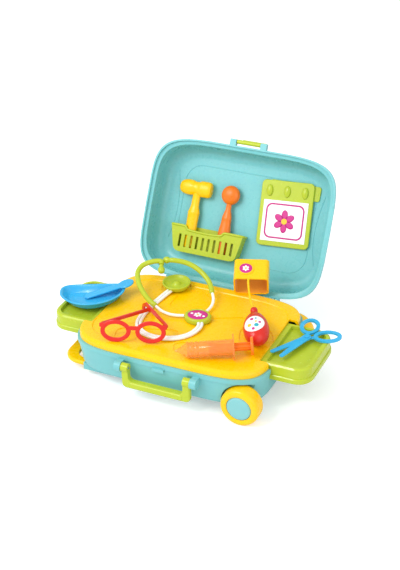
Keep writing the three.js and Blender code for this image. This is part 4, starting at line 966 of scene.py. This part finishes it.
def flatRing(outer, inner):
    build = bmesh.new()
    bridged(build, outer, inner)
    faceUp(build)
    return build


def dots(places, rings=2):
    # small round dots, each given as x, y and radius
    return [(flatDisc(r, r, x, y, rings, count=24), Matrix()) for x, y, r in places]


def petals(size):
    forms = []
    for i in range(flower["petals"]):
        petal = flatDisc(flower["petal"][0] * size, flower["petal"][1] * size, rings=3, count=24)
        forms.append((petal, turn("Z", 360 / flower["petals"] * i) @ move(0, flower["petalAt"] * size, 0)))
    return forms


# A frame line between two rounded outlines, and a flower in its middle
cardPrint = {"x": 79.92, "y": -23.01, "z": 54.9, "turn": -4, "frameOut": (-38, 38, -47, 19, 12),
             "frameIn": (-35, 35, -44, 16, 9.4), "flowerAt": -14, "flower": 27, "heart": 5.6}


def cardSticker():
    c = cardPrint
    place = toLid @ move(c["x"], c["y"], c["z"]) @ turn("Z", c["turn"]) @ turn("X", 180)
    frameLine = flatRing(roundedOutline(*c["frameOut"], steps=8), roundedOutline(*c["frameIn"], steps=8))
    stick("card_frame_print", [(frameLine, Matrix())], place, "magenta", "clipboard")
    centre = place @ move(0, c["flowerAt"], 0)
    heart = flatDisc(c["heart"], c["heart"])
    stick("card_flower_print", petals(c["flower"]), centre, "magenta", "clipboard")
    stick("card_flower_heart", [(heart, Matrix())], centre, "gold", "clipboard", layer=1)


junctionLabel = {"turn": 8, "size": (18.4, 15.6), "flower": 9.5,
                 "dots": ((-11.6, 2.4, 2.6), (11.6, -2.4, 2.6)), "heart": (0, 0, 2.1)}


def junctionSticker():
    j = junctionLabel
    place = toCase @ move(junction["x"], junction["y"], junction["z"] + junction["top"]) @ turn("Z", j["turn"])
    stick("junction_label", [(flatDisc(*j["size"]), Matrix())], place, "magenta", "base")
    stick("junction_label_print", petals(j["flower"]) + dots(j["dots"]), place, "card", "base", layer=1)
    stick("junction_label_heart", dots([j["heart"]]), place, "gold", "base", layer=2)


# The label lies where the bulb faces the front and the sky
bulbLabel = {"aim": (0.02, -0.5, 0.87), "down": 1, "size": (17.6, 18.6), "dots": {
    "magenta": ((-7.4, 7.8, 3.2), (8.6, 5.6, 2.4), (4, -11.8, 2.8)),
    "teal": ((6.2, -2.8, 4), (-1.6, 11.8, 2)),
    "gold": ((-5.6, -6.6, 3.6), (1.8, 4.8, 2.1))}}


def bulbSticker():
    surface = surfaceOf(bulbSkin)
    place = bulbMiddle @ facing(Vector(bulbLabel["aim"]).normalized()) @ move(0, -bulbLabel["down"], 0)
    label = flatDisc(*bulbLabel["size"], rings=12, count=64)
    stick("bulb_label", [(label, Matrix())], place, "card", "base", surface)
    for ink, places in bulbLabel["dots"].items():
        stick("bulb_label_dots_" + ink, dots(places, rings=3), place, ink, "base", surface, layer=1)


# A raised boss on top of the cuff carries the label
cuffLabel = {"x": -10, "back": 22, "boss": (15, 13.6), "bossThick": 1.7, "bossEdge": 0.7, "bossSunk": 0.3,
             "size": (11.8, 10.6), "flower": 8, "heart": (0, 0, 1.8)}


def cuffSticker():
    c = cuffLabel
    place = cuffPlace @ move(c["x"], cuff["high"], -c["back"]) @ turn("X", -90)
    boss = pressed(oval(0, 0, *c["boss"]), c["bossThick"], c["bossEdge"])
    mesh = merged("cuff_boss", [(boss, move(0, 0, -c["bossSunk"]))], 50)
    linked("cuff_boss", mesh, "yellow", "cuff", place)
    top = place @ move(0, 0, c["bossThick"] - c["bossSunk"])
    stick("cuff_label", [(flatDisc(*c["size"]), Matrix())], top, "magenta", "cuff")
    stick("cuff_label_print", petals(c["flower"]), top, "card", "cuff", layer=1)
    stick("cuff_label_heart", dots([c["heart"]]), top, "gold", "cuff", layer=2)


cardSticker()
junctionSticker()
bulbSticker()
cuffSticker()
print("stickers made")


# Floor and light, in metres and watts

studio = {"floorSize": 6, "floorPaint": "#f4f4f4", "floorGlow": 0.35, "sky": (0.98, 0.99, 1, 1),
          "skyStrength": 0.85}
lamps = {
    "key": {"place": (-1.3, -1.7, 2.2), "aim": (0, -0.05, 0.1), "power": 38, "size": 1.6},
    "window": {"place": (-0.5, -1.5, 1.9), "aim": (0, 0, 0.1), "power": 7, "size": 0.3},
    "fill": {"place": (1.9, -1.3, 1.3), "aim": (0, 0, 0.1), "power": 12, "size": 1.8},
}


def areaLight(name, place, aim, power, size):
    data = bpy.data.lights.new(name, "AREA")
    data.energy = power
    data.size = size
    light = bpy.data.objects.new(name, data)
    light.location = place
    light.rotation_euler = (Vector(aim) - Vector(place)).to_track_quat("-Z", "Y").to_euler()
    bpy.context.scene.collection.objects.link(light)


def paleFloor():
    mesh = bpy.data.meshes.new("floor")
    build = bmesh.new()
    bmesh.ops.create_grid(build, x_segments=1, y_segments=1, size=studio["floorSize"])
    build.to_mesh(mesh)
    build.free()
    material, tree = startMaterial("white studio floor")
    rays = addNode(tree, "ShaderNodeLightPath")
    paint = addNode(tree, "ShaderNodeBsdfDiffuse", inputs={"Color": linear(studio["floorPaint"])})
    glow = addNode(tree, "ShaderNodeEmission", inputs={"Color": (1, 1, 1, 1), "Strength": studio["floorGlow"]})
    both = addNode(tree, "ShaderNodeAddShader")
    tree.links.new(paint.outputs[0], both.inputs[0])
    tree.links.new(glow.outputs[0], both.inputs[1])
    seen = addNode(tree, "ShaderNodeMixShader", links={"Fac": rays.outputs["Is Camera Ray"]})
    tree.links.new(paint.outputs[0], seen.inputs[1])
    tree.links.new(both.outputs[0], seen.inputs[2])
    finishMaterial(tree, seen)
    mesh.materials.append(material)
    floor = bpy.data.objects.new("floor", mesh)
    bpy.context.scene.collection.objects.link(floor)


def paleWorld():
    world = bpy.data.worlds.new("studio")
    bpy.context.scene.world = world
    world.use_nodes = True
    tree = world.node_tree
    tree.nodes.clear()
    rays = addNode(tree, "ShaderNodeLightPath")
    soft = addNode(tree, "ShaderNodeBackground",
                   inputs={"Color": studio["sky"], "Strength": studio["skyStrength"]})
    white = addNode(tree, "ShaderNodeBackground", inputs={"Color": (1, 1, 1, 1), "Strength": 1.0})
    pick = addNode(tree, "ShaderNodeMixShader", links={"Fac": rays.outputs["Is Camera Ray"]})
    tree.links.new(soft.outputs[0], pick.inputs[1])
    tree.links.new(white.outputs[0], pick.inputs[2])
    output = addNode(tree, "ShaderNodeOutputWorld")
    tree.links.new(pick.outputs[0], output.inputs["Surface"])


paleFloor()
paleWorld()
for lampName, lamp in lamps.items():
    areaLight(lampName, **lamp)
bpy.context.scene.view_settings.view_transform = "Standard"
print("stage set")
